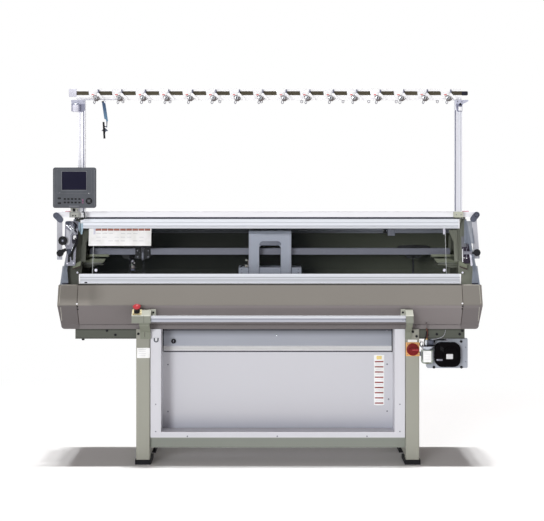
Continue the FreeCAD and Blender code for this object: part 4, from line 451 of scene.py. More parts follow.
def start_bar_finish(name):
    """Drawn bar whose tones by height are painted light and shade: painted shade on its lower face, darker
    still on the step in it, and a painted highlight on the band just below its top face.
    """
    finish = Finish(name)
    streaks, height = finish.streaks(), finish.axis("Z")
    colour = finish.between(tone(178, 180, 189), tone(210, 212, 218), finish.rise(height, 0.8160, 0.8175))
    colour = finish.between(colour, tone(180, 182, 188), finish.rise(height, 0.8230, 0.8250))
    step = finish.rise(height, 0.8058, 0.8072) * finish.fall(height, 0.8125, 0.8140)
    return finish.surface(finish.between(colour, tone(146, 149, 160), step), 0.4 + (streaks - 0.5) * 0.2,
        0.15, relief=streaks, depth=0.0001)


def channel_finish(name):
    """Dark channel under the table, in more light to the right."""
    finish = Finish(name)
    streaks, share = finish.streaks(), finish.rise(finish.axis("X"), 0.2, 0.75)
    colour = finish.between(tone(62, 64, 70), tone(142, 146, 158), share)
    return finish.surface(colour, 0.45 + (streaks - 0.5) * 0.2, 0.15, relief=streaks, depth=0.0001)


def fitting_finish(name):
    """Sockets and head brackets of the yarn stand; the left socket is painted white."""
    finish = Finish(name)
    fine, height = finish.noise(500, 3), finish.axis("Z")
    right = finish.rise(finish.axis("X"), -0.1, 0.1)
    socket = finish.between(tone(224, 225, 230), tone(188, 190, 174), right)
    head = finish.between(tone(140, 142, 162), tone(190, 192, 208), finish.rise(height, 1.984, 1.988))
    return finish.surface(finish.between(socket, head, finish.rise(height, 1.49, 1.51)),
        0.45 + (fine - 0.5) * 0.2, relief=fine, depth=0.0002)


def post_finish(name):
    """Drawn aluminium of the posts, the left one in more light."""
    finish = Finish(name)
    streaks = finish.streaks(stretch=ALONG_Z)
    colour = finish.between(tone(246, 246, 251), tone(224, 225, 232),
        finish.rise(finish.axis("X"), -0.1, 0.1))
    return finish.surface(colour, 0.4 + (streaks - 0.5) * 0.2, 0.1, relief=streaks, depth=0.0001)


def zoned(name, marks, rough=0.45, grain=500, drift=0.94):
    """Enamel whose tone changes at heights: marks are (metres, tone below it), the last one open above."""
    finish = Finish(name)
    peel, slow, height = finish.noise(grain, 3), finish.noise(2.4, 4), finish.axis("Z")
    colour = lasting(marks[0][1])
    for (level, _), (_, upper) in zip(marks, marks[1:]):
        colour = finish.between(colour, lasting(upper), finish.rise(height, level - 0.002, level + 0.002))
    dull = finish.rise(slow * 0.75 + peel * 0.25, 0.35, 0.65)
    colour = finish.between(finish.between(colour, BLACK, 1 - drift), colour, dull)
    return finish.surface(colour, rough + (peel - 0.5) * 0.2, relief=peel, depth=0.00025)


def inner_finish(name):
    """Olive enamel inside the ends, in more light at the right end."""
    tone_right = tuple(bpy.context.scene.knitting.covers.inner)
    finish = Finish(name)
    peel, slow = finish.noise(420, 3), finish.noise(2.6, 4)
    side = finish.rise(finish.axis("X"), -0.9, 0.9)
    colour = finish.between(shade(tone_right, 0.36), tone_right, side)
    high = finish.rise(finish.axis("Z") + (slow - 0.5) * 0.2, 1.02, 1.30)
    colour = finish.between(colour, tone(96, 98, 88), high * 0.35)
    return finish.surface(colour, 0.5 + (peel - 0.5) * 0.2, relief=peel, depth=0.0003)


def stop_finish(name):
    """Red head of the emergency stop; what lies nearer to its seat is black."""
    finish = Finish(name)
    out = (finish.axis("Y") - float(SHIFT[1]) + 0.014) * -0.5265 + (finish.axis("Z") - 0.8479) * 0.8502
    slow = finish.noise(30)
    red = finish.between(tone(172, 46, 54), tone(186, 58, 64), slow)
    colour = finish.between(tone(30, 20, 20), red, finish.rise(out, 0.0295, 0.0305))
    return finish.surface(colour, 0.3 + (slow - 0.5) * 0.1, Coat_Weight=0.2)


def tool_finish(name):
    """Threading tool: black shaft, slate wings beside it."""
    finish = Finish(name)
    aside = abs(finish.axis("X") - float(SHIFT[0]) + 0.914 + (finish.axis("Z") - 1.7957) * 0.06)
    fine = finish.noise(900)
    return finish.surface(finish.between(tone(22, 22, 26), tone(88, 96, 112),
        finish.rise(aside, 0.006, 0.0075)), 0.4 + (fine - 0.5) * 0.1, relief=fine, depth=0.0001, mirror=0.12)


def flap_finish(name):
    """Brushed sheet of the flap, with painted shadow of the hull along its top, a painted highlight on its
    bent lip and painted shade along the lip's lower edge.
    """
    sheet = tuple(bpy.context.scene.knitting.stand.flap)
    finish = Finish(name)
    streaks, slow = finish.streaks(800), finish.noise(2.5, 3)
    body = finish.between(shade(sheet, 0.93), sheet, finish.rise(streaks * 0.6 + slow * 0.4, 0.3, 0.7))
    # Painted shadow of the hull along the top, darkest in its last few millimetres.
    body = finish.between(body, shade(sheet, 0.58), finish.rise(finish.axis("Z"), 0.685, 0.722))
    body = finish.between(body, tone(84, 84, 90), finish.rise(finish.axis("Z"), 0.7205, 0.7250))
    # Painted highlight on the bent lip.
    lip = finish.fall(finish.axis("Z"), 0.634, 0.640)
    body = finish.between(body, tone(255, 255, 255), lip)
    # Painted shade along the lip's lower edge.
    edge = finish.fall(finish.axis("Z"), 0.6125, 0.6135)
    return finish.surface(finish.between(body, tone(140, 140, 147), edge), 0.45 + (streaks - 0.5) * 0.2,
        0.25, relief=streaks, depth=0.0001)


def strap_finish(name):
    """Woven strap: fine ribs along it, paler to its foot."""
    finish = Finish(name)
    ribs = finish.noise(900, 2, (1, 1, 0.05))
    share = finish.rise(finish.axis("Z"), 1.87, 1.99)
    return finish.surface(finish.between(tone(112, 146, 172), tone(70, 92, 122), share), 0.55, relief=ribs,
        depth=0.0004)


def clear_finish(name, colour, alpha, rough=0.04, mirror=0.3):
    """Clear or smoky sheet with faint wiping marks in its sheen."""
    finish = Finish(name)
    marks = finish.noise(9, 4, (1, 1, 0.3))
    return finish.surface(finish.between(shade(colour, 0.9), colour, marks),
        rough + (marks - 0.4).held() * 0.12, mirror=mirror, Alpha=alpha)


def screen_finish(name):
    """Dark glass of the screen, with a cell grid just under the surface."""
    finish = Finish(name)
    columns, rows = finish.stripes("X", 900, 0.1, 0.5), finish.stripes("Z", 900, 0.1, 0.5)
    slow = finish.noise(12)
    colour = finish.between(tone(10, 8, 32), tone(18, 15, 46), (columns + rows) * 0.3 + slow * 0.4)
    return finish.surface(colour, 0.22 + (slow - 0.5) * 0.06, mirror=0.1)


def lasting(colour):
    """A colour written as 8-bit numbers, or the name of the setting that holds it and a factor."""
    if isinstance(colour[0], str):
        group, name, factor = colour
        return shade(getattr(getattr(bpy.context.scene.knitting, group), name), factor)
    return tone(*colour)


# Plastics: colour, roughness, grain, depth of the grain, coat, gloss level.
MOULDED = {
    # Dark strips put in the gaps between parts: painted shade.
    "seam_dark": ((64, 56, 52), 0.6),
    "seam_slate": ((70, 74, 84), 0.6),
    "seam_black": ((30, 22, 22), 0.8, 1400, 0.00015, 0, 0.03),
    "black_plastic": ((24, 24, 27), 0.42),
    "grey_plastic": ((85, 88, 94), 0.48, 1200, 0.0002),
    "edge_plastic": ((112, 114, 120), 0.45),
    "key_plastic": ((28, 28, 31), 0.5),
    "dial_plastic": ((84, 86, 90), 0.5),
    "slate_plastic": ((66, 70, 82), 0.4),
    "white_plastic": ((247, 247, 250), 0.35, 1400, 0.00015, 0.2),
    "lilac_plastic": ((216, 216, 228), 0.4),
    "cap_slate": ((88, 92, 106), 0.45),
    "navy_plastic": ((34, 32, 44), 0.4),
    "brown_strip": ((82, 76, 62), 0.5, 600),
    "brown_strip_dark": ((70, 64, 52), 0.5, 600),
    "plate_white": ((253, 253, 251), 0.4, 900, 0.0001),
    "plate_print": ((226, 226, 228), 0.4, 900, 0.0001),
    "plate_rust": ((160, 106, 92), 0.45, 900, 0.0001),
    "notice_red": ((150, 62, 58), 0.45, 900, 0.0001),
    "pink_tape": ((214, 120, 140), 0.5),
    "key_pink": ((132, 88, 118), 0.5),
    "grip_red": ((172, 66, 70), 0.35),
    "stop_yellow": ((238, 214, 140), 0.35, 1400, 0.00015, 0.3),
    "switch_red": ((122, 23, 26), 0.35, 1400, 0.00015, 0.1),
    "red_mark": ((214, 84, 84), 0.4),
    "wire_red": ((104, 58, 52), 0.45),
    "rubber": ((34, 34, 37), 0.75, 500, 0.0004),
    "roller_rubber": ((52, 52, 54), 0.7, 300, 0.0005),
    "motor_black": ((9, 7, 9), 0.55, 500, 0.0002, 0, 0.03),
    "lens_black": ((12, 10, 11), 0.6, 1400, 0.00015, 0, 0.05),
    "violet_dark": ((46, 38, 52), 0.4),
}

# Powder coats: colour, drift of tone, roughness, grain, depth of the grain.
COATED = {
    "neck_enamel": ((168, 169, 162), 0.92, 0.4, 600),
    "olive_cast": ((116, 121, 104), 0.85, 0.55, 260, 0.0006),
    "table_coat": ((244, 244, 249), 0.97, 0.45),
    "strip_coat": ((186, 187, 195), 0.95, 0.45),
    "blower_enamel": ((178, 183, 193), 0.86, 0.42),
    "carriage": (("metal", "carriage", 1), 0.95, 0.38, 800),
    # Light strips along the end covers' edges: painted highlights.
    "edge_light": ((184, 181, 172), 0.97, 0.4),
    # Darker plate at the top of the carriage's arch: painted shade.
    "arch_shade": ((108, 112, 124), 0.95, 0.45),
    "casting": ((74, 78, 70), 0.85, 0.6, 240, 0.0008),
}

# Drawn metals: colour, roughness, metallic share, direction, streaks to the metre.
BRUSHED = {
    "beam_white": ((250, 250, 252), 0.4, 0.05),
    "smoke_metal": ((116, 110, 110), 0.35, 0.4, ALONG_Z),
    "slate_line": ((100, 102, 124), 0.45, 0.2, ALONG_Z),
    "feeder_rail": ((110, 112, 123), 0.42, 0.3),
    "steel": (("metal", "steel", 1), 0.3, 0.7, ALONG_Z),
    "chrome": ((205, 208, 214), 0.15, 0.95, ALONG_Z, 1500),
    "bronze": ((132, 120, 112), 0.3, 0.6, ALONG_Z),
    "brass": ((205, 172, 108), 0.28, 0.8, ALONG_Z),
    "head_light": ((196, 202, 212), 0.35, 0.2, ALONG_Z),
}

# Clear sheets: colour, alpha, roughness, gloss level.
CLEAR = {
    "bowl": ((176, 186, 176), 0.75, 0.1),
    "pane": ((130, 140, 144), 0.012, 0.04, 0.06),
    "pane_edge": ((236, 240, 244), 0.85, 0.2),
    "blue_clear": ((196, 222, 238), 0.7, 0.1),
    "shield": (("covers", "shield", 1), 0.62, 0.12),
}

# Enamels with zones of height: (top of the zone in metres, colour), then roughness, grain, drift of tone.
ZONED = {
    "panel": ([(0.1475, (166, 170, 163)), (9, ("stand", "panel", 1))], 0.5, 700, 0.97),
    # Stand beams: the darkest tone, above 0.738 m, is painted shadow under the hull.
    "beam_enamel": ([(0.40, (140, 144, 136)), (0.698, (70, 72, 66)), (0.738, (84, 87, 79)),
        (9, (58, 60, 54))],),
    "leg_enamel": ([(0.62, ("stand", "frame", 1)), (9, ("stand", "frame", 0.84))],),
    # Start bar brackets: the tones by height are painted light and shade, with painted shade on the arms
    # below 0.787 m, a painted highlight along the top edge from 0.828 to 0.8335 m and a lighter top face
    # above it.
    "bar_bracket": ([(0.787, (130, 133, 120)), (0.828, (140, 143, 132)), (0.8335, (206, 208, 196)),
        (9, (178, 180, 168))],),
    "yellow": ([(0.75, (236, 178, 110)), (9, (226, 214, 168))], 0.35),
    "hose": ([(0.752, (92, 66, 58)), (9, (112, 105, 105))], 0.5),
}

# Finishes with a function of their own.
OWN = {"hull": hull_finish, "wall": wall_finish, "chute": chute_finish, "beds": bed_finish,
    "belt": belt_finish, "strap": strap_finish, "screen": screen_finish, "inner_enamel": inner_finish,
    "stand_fitting": fitting_finish, "start_bar": start_bar_finish, "stop": stop_finish, "tool": tool_finish,
    "rail": rail_finish, "post_white": post_finish, "flap": flap_finish, "channel": channel_finish}
MAKERS = ((moulded, MOULDED), (powder_coat, COATED), (brushed, BRUSHED), (clear_finish, CLEAR),
    (zoned, ZONED))
FINISHES = {}


def finish(name):
    """The material of that name, made when it is first asked for."""
    if name not in FINISHES:
        title = "finish_" + name
        if name in OWN:
            FINISHES[name] = OWN[name](title)
        else:
            maker, (colour, *values) = next((maker, table[name]) for maker, table in MAKERS if name in table)
            FINISHES[name] = maker(title, colour if maker is zoned else lasting(colour), *values)
    return FINISHES[name]


def dress(name, *nodes):
    """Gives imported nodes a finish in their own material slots."""
    for node in nodes:
        shown = frame["nodes"][node]
        if not shown.material_slots:
            shown.data.materials.append(None)
        for held in shown.material_slots:
            held.material = finish(name)


# ---- surfaces --------------------------------------------------------------------------------------
def facing(x, y, z, tilt=0):
    """Place and axes (across, up, out) of something that faces the operator, leant back by tilt degrees."""
    lean = math.radians(tilt)
    return (np.array([x, y, z], float), np.array([[1, 0, 0], [0, math.sin(lean), math.cos(lean)],
        [0, -math.cos(lean), math.sin(lean)]]))


def spot(place):
    """Origin and axes of a place, which may also be given as the numbers that facing takes."""
    return place if len(place) == 2 else facing(*place)


def upright(x, y, z):
    """Place and axes of something that points up."""
    return np.array([x, y, z], float), np.eye(3)


def helix(place, radius, turns, climb, count):
    """Points (r cos t, r sin t, climb u) from a place on, for u from 0 to 1 and t of turns times u."""
    share = np.linspace(0, 1, count)
    turn = share * turns * 2 * math.pi
    return np.stack([place[0] + radius * np.cos(turn), place[1] + radius * np.sin(turn),
        place[2] + climb * share], axis=1)


def rounded(width, height, corner, steps=4):
    """Rounded rectangle: each quarter is its corner's centre plus corner times (cos t, sin t)."""
    corner = max(0.01, min(corner, width / 2 - 0.01, height / 2 - 0.01))
    quarter = np.arange(4)[:, None]
    angle = (quarter + np.linspace(0, 1, steps + 1)[None, :]) * math.pi / 2
    side = np.sign(np.cos((quarter + 0.5) * math.pi / 2)), np.sign(np.sin((quarter + 0.5) * math.pi / 2))
    across = side[0] * (width / 2 - corner) + corner * np.cos(angle)
    up = side[1] * (height / 2 - corner) + corner * np.sin(angle)
    return np.stack([across.ravel(), up.ravel()], axis=1)


def softened(outline, radius, steps=4):
    """Polygon with each corner P replaced by the curve (1-t)^2 A + 2t(1-t) P + t^2 B between points A and B
    on its two sides."""
    outline = np.asarray(outline, float)
    before, after = np.roll(outline, 1, 0) - outline, np.roll(outline, -1, 0) - outline
    cut = [np.minimum(radius / np.linalg.norm(run, axis=1), 0.48)[:, None] * run for run in (before, after)]
    t = np.linspace(0, 1, steps + 1)[None, :, None]
    a, p, b = ((outline + cut[0])[:, None], outline[:, None], (outline + cut[1])[:, None])
    return ((1 - t) ** 2 * a + 2 * t * (1 - t) * p + t ** 2 * b).reshape(-1, 2)


def inset(outline, distance):
    """Each corner moved inwards along its mitre, distance times (n1 + n2) / (1 + n1.n2)."""
    ahead = np.roll(outline, -1, 0) - outline
    ahead = ahead / np.maximum(np.linalg.norm(ahead, axis=1), 1e-9)[:, None]
    turn = np.sign(np.sum(outline[:, 0] * np.roll(outline[:, 1], -1) - np.roll(outline[:, 0],
        -1) * outline[:, 1]))
    normal = np.stack([-ahead[:, 1], ahead[:, 0]], axis=1) * turn
    last = np.roll(normal, 1, 0)
    return outline + (normal + last) / (1 + np.sum(normal * last, axis=1))[:, None].clip(0.3) * distance


def smooth_path(points, count):
    """Catmull-Rom curve through the points: at each step a cubic of the four nearest ones."""
    points = np.asarray(points, float)
    padded = np.vstack([2 * points[0] - points[1], points, 2 * points[-1] - points[-2]])
    place = np.linspace(0, len(points) - 1.0001, count)
    start = place.astype(int)
    t = (place - start)[:, None]
    p0, p1, p2, p3 = (padded[start + k] for k in range(4))
    return 0.5 * (2 * p1 + (p2 - p0) * t + (2 * p0 - 5 * p1 + 4 * p2 - p3) * t ** 2
                  + (3 * p1 - p0 - 3 * p2 + p3) * t ** 3)


def quads(rows, columns, closed_rows):
    """Faces between neighbours (i, j), (i, j+1), (i+1, j+1), (i+1, j) of a grid whose columns close."""
    i = np.arange(rows if closed_rows else rows - 1)[:, None]
    j = np.arange(columns)[None, :]
    ahead, right = (i + 1) % rows, (j + 1) % columns
    return np.stack([i * columns + j, i * columns + right, ahead * columns + right, ahead * columns + j],
        axis=-1).reshape(-1, 4)


class Piece:
    """Gathers closed surfaces, each with a finish, into one object that rides on a body."""

    def __init__(self, name, body, slot, replaces=()):
        self.name, self.body, self.slot, self.replaces = name, body, slot, replaces
        self.points, self.faces, self.which, self.finishes, self.total = [], [], [], [], 0

    def keep(self, name, points, faces):
        """Adds a closed surface, its faces turned outwards: the signed volume under them is positive."""
        corners = [np.concatenate([part[:, :3],
            part[:, [0, 2, 3]]]) if part.shape[1] == 4 else part for part in faces]
        a, b, c = (points[np.concatenate(corners)[:, k]] - points.mean(0) for k in range(3))
        if np.sum(a * np.cross(b, c)) < 0:
            faces = [part[:, ::-1] for part in faces]
        if name not in self.finishes:
            self.finishes.append(name)
        for part in faces:
            self.faces += (part + self.total).tolist()
            self.which += [self.finishes.index(name)] * len(part)
        self.points.append(points)
        self.total += len(points)

    def loft(self, name, rings, closed=False):
        """Surface through rings of equal count; the ends are closed by fans round their middles."""
        rows, columns = rings.shape[:2]
        points, faces = rings.reshape(-1, 3), [quads(rows, columns, closed)]
        if not closed:
            points = np.vstack([points, rings[0].mean(0), rings[-1].mean(0)])
            j = np.arange(columns)
            last = (rows - 1) * columns
            near = np.stack([(j + 1) % columns, j, np.full(columns, rows * columns)], axis=1)
            far = np.stack([last + j, last + (j + 1) % columns, np.full(columns, rows * columns + 1)], axis=1)
            faces.append(np.concatenate([near, far]))
        self.keep(name, points, faces)

    def raised(self, name, place, outline, levels):
        """Outline carried along the out axis; each level is (inset, height)."""
        origin, axes = spot(place)
        rings = [np.column_stack([inset(outline, shrink), np.full(len(outline), height)]) for shrink,
            height in levels]
        self.loft(name, origin + np.stack(rings) @ axes)

    def plate(self, name, place, outline, thick, corner=0, rim=0.5):
        """Flat piece with softened corners and a rounded front rim."""
        outline = softened(outline, corner) if corner else np.asarray(outline, float)
        self.raised(name, place, outline, [(0, 0), (0, thick - rim), (rim * 0.3, thick - rim * 0.3),
            (rim, thick)])

    def slab(self, name, place, width, height, thick, corner=1.5, rim=0.6):
        """Rounded rectangle round the place, its front rim rounded."""
        self.plate(name, place, rounded(width, height, corner), thick, 0, rim)

    def turned(self, name, place, profile, sides=28):
        """Profile of (radius, height) turned round the out axis: r (cos t, sin t) at each height."""
        origin, axes = spot(place)
        radius, height = np.array(profile, float).T[:, :, None]
        t = np.linspace(0, 2 * math.pi, sides, endpoint=False)[None, :]
        rings = np.stack([radius * np.cos(t), radius * np.sin(t), height + 0 * t], axis=-1)
        self.loft(name, origin + rings @ axes)

    def tube(self, name, path, radius, sides=10, count=0, closed=False):
        """Circle carried along a path: side = tangent x reference, up = side x tangent."""
        path = smooth_path(path, count) if count else np.asarray(path, float)
        ahead = np.gradient(path, axis=0)
        if closed:
            ahead = np.roll(path, -1, 0) - np.roll(path, 1, 0)
        ahead = ahead / np.linalg.norm(ahead, axis=1)[:, None]
        span = np.ptp(path, axis=0)
        reference = np.eye(3)[int(np.argmin(span))]
        side = np.cross(ahead, reference)
        side = side / np.maximum(np.linalg.norm(side, axis=1), 1e-9)[:, None]
        up = np.cross(side, ahead)
        t = np.linspace(0, 2 * math.pi, sides, endpoint=False)[None, :, None]
        size = np.broadcast_to(np.asarray(radius, float).reshape(-1, 1, 1), (len(path), 1, 1))
        self.loft(name, path[:, None] + size * (np.cos(t) * side[:, None] + np.sin(t) * up[:, None]), closed)

    def ring(self, name, place, radius, wire, sides=24):
        """Round wire bent to a circle in the place's plane."""
        origin, axes = spot(place)
        t = np.linspace(0, 2 * math.pi, sides, endpoint=False)
        self.tube(name, origin + np.stack([radius * np.cos(t), radius * np.sin(t), 0 * t], 1) @ axes, wire,
            8, closed=True)

    def border(self, name, place, width, height, wide, thick, corner=2):
        """Frame between two rounded rectangles: outer back, outer front, inner front, inner back."""
        origin, axes = spot(place)
        outer, inner = rounded(width, height, corner), rounded(width - 2 * wide, height - 2 * wide, corner)
        rings = [np.column_stack([line, np.full(len(line), high)]) for line,
            high in ((outer, 0), (outer, thick), (inner, thick), (inner, 0))]
        self.loft(name, origin + np.stack(rings) @ axes, closed=True)

    def run(self, name, section, x0, x1, corner=0):
        """Section of (y, z) run along x."""
        section = softened(section, corner) if corner else np.asarray(section, float)
        self.loft(name, np.stack([np.column_stack([np.full(len(section), x), section]) for x in (x0, x1)]))

    def screw(self, name, place, radius, proud):
        """Cap head with a rounded rim and a six-sided socket."""
        self.turned(name, place, [(radius, 0), (radius, proud * 0.7), (radius * 0.85, proud),
            (radius * 0.5, proud), (radius * 0.45, proud * 0.45)], 18)

    def build(self):
        """Makes the mesh, in metres and in the frame's place, and lets it ride."""
        mesh = bpy.data.meshes.new(self.name)
        mesh.from_pydata((np.concatenate(self.points) / 1000 + SHIFT).tolist(), [], self.faces)
        for name in self.finishes:
            mesh.materials.append(finish(name))
        mesh.polygons.foreach_set("material_index", self.which)
        mesh.polygons.foreach_set("use_smooth", [True] * len(self.faces))
        mesh.set_sharp_from_angle(angle=math.radians(38))
        mesh.update()
        shown = bpy.data.objects.new(self.name, mesh)
        bpy.context.scene.collection.objects.link(shown)
        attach(shown, self.body)
        if self.replaces:
            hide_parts(*self.replaces)
        return shown


# ---- pieces ----------------------------------------------------------------------------------------
FINISH_OF_NODES = {
    "hull": "front_cover rear_cover end_covers belly_pan",
    "leg_enamel": "left_leg_frame right_leg_frame",
    "beam_enamel": "stand_beams",
    "inner_enamel": "end_frames",
    "wall": "back_wall",
    "shield": "side_covers",
    "panel": "panel_frame",
    "chute": "chute_panel",
    "flap": "takedown_flap",
    "table_coat": "yarn_table",
    "strip_coat": "side_strips",
    "cap_slate": "table_end_caps",
    "rail": "window_rails",
    "start_bar": "start_bar",
    "beam_white": "crossbeam",
    "post_white": "stand_posts",
    "stand_fitting": "stand_fittings",
    "bar_bracket": "estop_bracket right_bar_bracket",
    "neck_enamel": "monitor_neck",
    "pane": "window_pane",
    "lilac_plastic": "pane_fixings crossbeam_trim yarn_tension_units",
    "casting": "bed_castings",
    "olive_cast": "rail_brackets",
    "beds": "needle_beds",
    "carriage": "cam_boxes carriage_bridge",
    "feeder_rail": "carrier_rails",
    "black_plastic": "feeder_front feeder_second feeder_rear left_lever right_lever left_tension_knob "
                     "flap_latch",
    "tool": "threading_tool",
    "channel": "guide_beam",
    "strap": "tool_strap",
    "steel": "side_tension_brackets drive_pulley idler_pulley",
    "grey_plastic": "monitor_housing",
    "screen": "monitor_screen",
    "rubber": "foot_pads",
    "roller_rubber": "takedown_roller",
    "stop": "estop_button",
    "yellow": "yellow_plates",
    "switch_red": "switch_handle",
    "blower_enamel": "blower_plate",
    "motor_black": "blower_motor drive_motor",
    "bowl": "air_regulator",
    "hose": "air_hose",
    "belt": "drive_belt",
}


class KNITTING_OT_finishes(bpy.types.Operator):
    """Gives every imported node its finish"""
    bl_idname = "knitting.finishes"
    bl_label = "Finishes of the Packed Pieces"

    def execute(self, context):
        for name, nodes in FINISH_OF_NODES.items():
            dress(name, *nodes.split())
        return {"FINISHED"}


class KNITTING_OT_monitor_face(bpy.types.Operator):
    """Screen rim, keys, dial and lamps of the monitor"""
    bl_idname = "knitting.monitor_face"
    bl_label = "Monitor Face"

    def execute(self, context):
        piece = Piece("monitor_face", "monitor", "monitor_case")
        y = -4
        piece.border("edge_plastic", (-1067.2, y, 1563), 140, 107, 3.4, 1.6, 2.5)
        piece.border("edge_plastic", (-1067.2, y, 1560), 188, 132, 1.2, 0.5, 6)
        # Thin lighter strips down the case's sides: painted highlight on its rounded side edges.
        piece.slab("edge_plastic", (-1173, y, 1525), 2.2, 196, 0.8, 1, 0.3)
        piece.slab("edge_plastic", (-956.5, y, 1525), 3, 196, 0.8, 1.2, 0.3)
        for z in (1467.3, 1440.6):
            piece.slab("key_plastic", (-1147.8, y, z), 19, 10.5, 2, 5.2, 0.8)
            piece.slab("dial_plastic", (-1147.8, y - 2, z + 1.4), 9, 1.6, 0.4, 0.7, 0.2)
        for x in (-1117.8, -1098.2, -1078.6, -1059, -1038.3):
            for z in (1463.5, 1444.5):
                piece.slab("key_plastic", (x, y, z), 12, 9, 1.8, 2.5, 0.7)
            piece.turned("edge_plastic", (x, y, 1473.6), [(1.3, 0), (1.3, 0.4), (0.8, 0.7)], 12)
        piece.slab("key_pink", (-1019.8, y, 1456.5), 8, 12, 1.8, 2, 0.7)
        piece.slab("key_pink", (-1019.8, y, 1444), 8, 9, 1.8, 2, 0.7)
        piece.turned("key_plastic", (-986, y, 1452.6), [(17.5, 0), (17.5, 1.6), (16.3, 2.4), (13.5, 2.4),
            (12.6, 1.2), (11.5, 1.2)], 40)
        piece.turned("dial_plastic", (-986, y - 1, 1452.6), [(8.5, 0), (8.5, 2.6), (7.6, 3.2)], 32)
        for turn in range(4):
            angle = math.radians(45 + 90 * turn)
            piece.turned("edge_plastic", (-986 + 11 * math.cos(angle), y - 1, 1452.6 + 11 * math.sin(angle)),
                [(1.1, 0), (1.1, 0.7)], 10)
        piece.turned("edge_plastic", (-1146.7, y, 1497.3), [(3.6, 0), (3.6, 0.6), (3, 0.9)], 20)
        piece.turned("plate_print", (-987.1, y, 1494), [(2.2, 0), (2.2, 0.6), (1.7, 0.9)], 16)
        for x in (-1118, -1093, -1067, -1041, -1015):
            piece.slab("dial_plastic", (x, y, 1495.5), 9, 1.3, 0.3, 0.5, 0.1)
        piece.slab("edge_plastic", (-1067, y, 1423.7), 58, 7, 0.4, 3, 0.2)
        piece.build()
        return {"FINISHED"}


class KNITTING_OT_tension_units(bpy.types.Operator):
    """Yarn tension units along the crossbeam, and the yarn eyes under it"""
    bl_idname = "knitting.tension_units"
    bl_label = "Yarn Tension Units"

    def execute(self, context):
        row = context.scene.knitting.yarn
        piece = Piece("tension_row", "machine", "tension_white", ["yarn_tension_units"])
        for number in range(row.count):
            x = row.first + row.pitch * number
            self.unit(piece, x, number)
        for x in (-812, -664, -552, -277, -47, 175, 403, 545, 697, 924):
            self.eye(piece, x)
        piece.build()
        return {"FINISHED"}

    @staticmethod
    def unit(piece, x, number):
        """One unit: leaning body, peg, tension discs on their post, stop arm, red mark and wire hook."""
        lean = (number * 37 % 11 - 5) * 0.6
        piece.plate("white_plastic", (x, 95, 2040), [(-37, 26), (-31, -21), (16, -21), (20, -2), (22, 26)],
            11, 3, 1.6)
        piece.plate("white_plastic", (x, 84, 2040), [(-25, 18), (-22, -8), (8, -8), (12, 14)], 3, 3, 1.2)
        piece.turned("slate_line", upright(x + 19, 80, 2038), [(3.2, 0), (3.2, 25), (2.2, 28)], 14)
        piece.plate("white_plastic", (x, 80, 2036), [(10, 6), (20, 11), (52, -23), (46, -27), (38, -22),
            (12, -2)], 4, 2, 1)
        piece.slab("red_mark", (x - 10.5, 84, 2036), 15, 5.5, 3.4, 1.5, 0.8)
        piece.plate("smoke_metal", (x + 4, 84, 2018), [(-13, 12), (0, 17), (13, 6), (14, -8), (4, -16),
            (-9, -12)], 4, 4, 1.2)
        piece.turned("steel", (x + 3, 92, 2019), [(3, 0), (3, 16), (2.2, 17.5)], 16)
        piece.turned("chrome", (x + 3, 81, 2019), [(9.5, 0), (10, 0.8), (6, 2.2), (4, 2.4)], 28)
        piece.turned("bronze", (x + 3, 84.4, 2019), [(4, 0), (6, 0.3), (12.5, 2.2), (12, 3.2)], 28)
        piece.turned("black_plastic", (x + 3, 79, 2019), [(5.2, 0), (5.2, 3), (4, 4.2)], 18)
        piece.tube("smoke_metal", helix((x + 19, 85, 2006), 3.6, 4.5, 19, 46), 0.9, 6)
        piece.tube("smoke_metal", [(x - 14, 86, 2030), (x - 4, 82, 2022), (x + 8, 80, 2004),
            (x + 20, 82, 2007), (x + 30 + lean, 85, 2018)], 2.1, 8, 22)
        piece.tube("steel", [(x - 2, 86, 2012), (x - 5, 85, 2002), (x - 8, 84, 1993), (x - 3, 84, 1986.5),
            (x + 3 + lean * 0.5, 84, 1993), (x + 2, 85, 2004), (x + 1, 86, 2012)], 1.9, 8, 30)
        piece.slab("smoke_metal", (x + 8, 90, 2006), 20, 11, 5, 3, 1)

    @staticmethod
    def eye(piece, x):
        """Ring of light wire with its two legs up to the beam."""
        place = facing(x, 119, 1999)
        piece.ring("smoke_metal", place, 5.8, 1.9)
        piece.ring("lilac_plastic", (x, 116.5, 1999), 4.4, 0.9)
        for side in (-1, 1):
            piece.tube("steel", [(x + side * 4, 119, 2003), (x + side * 8, 119, 2008.6)], 1.5, 8)


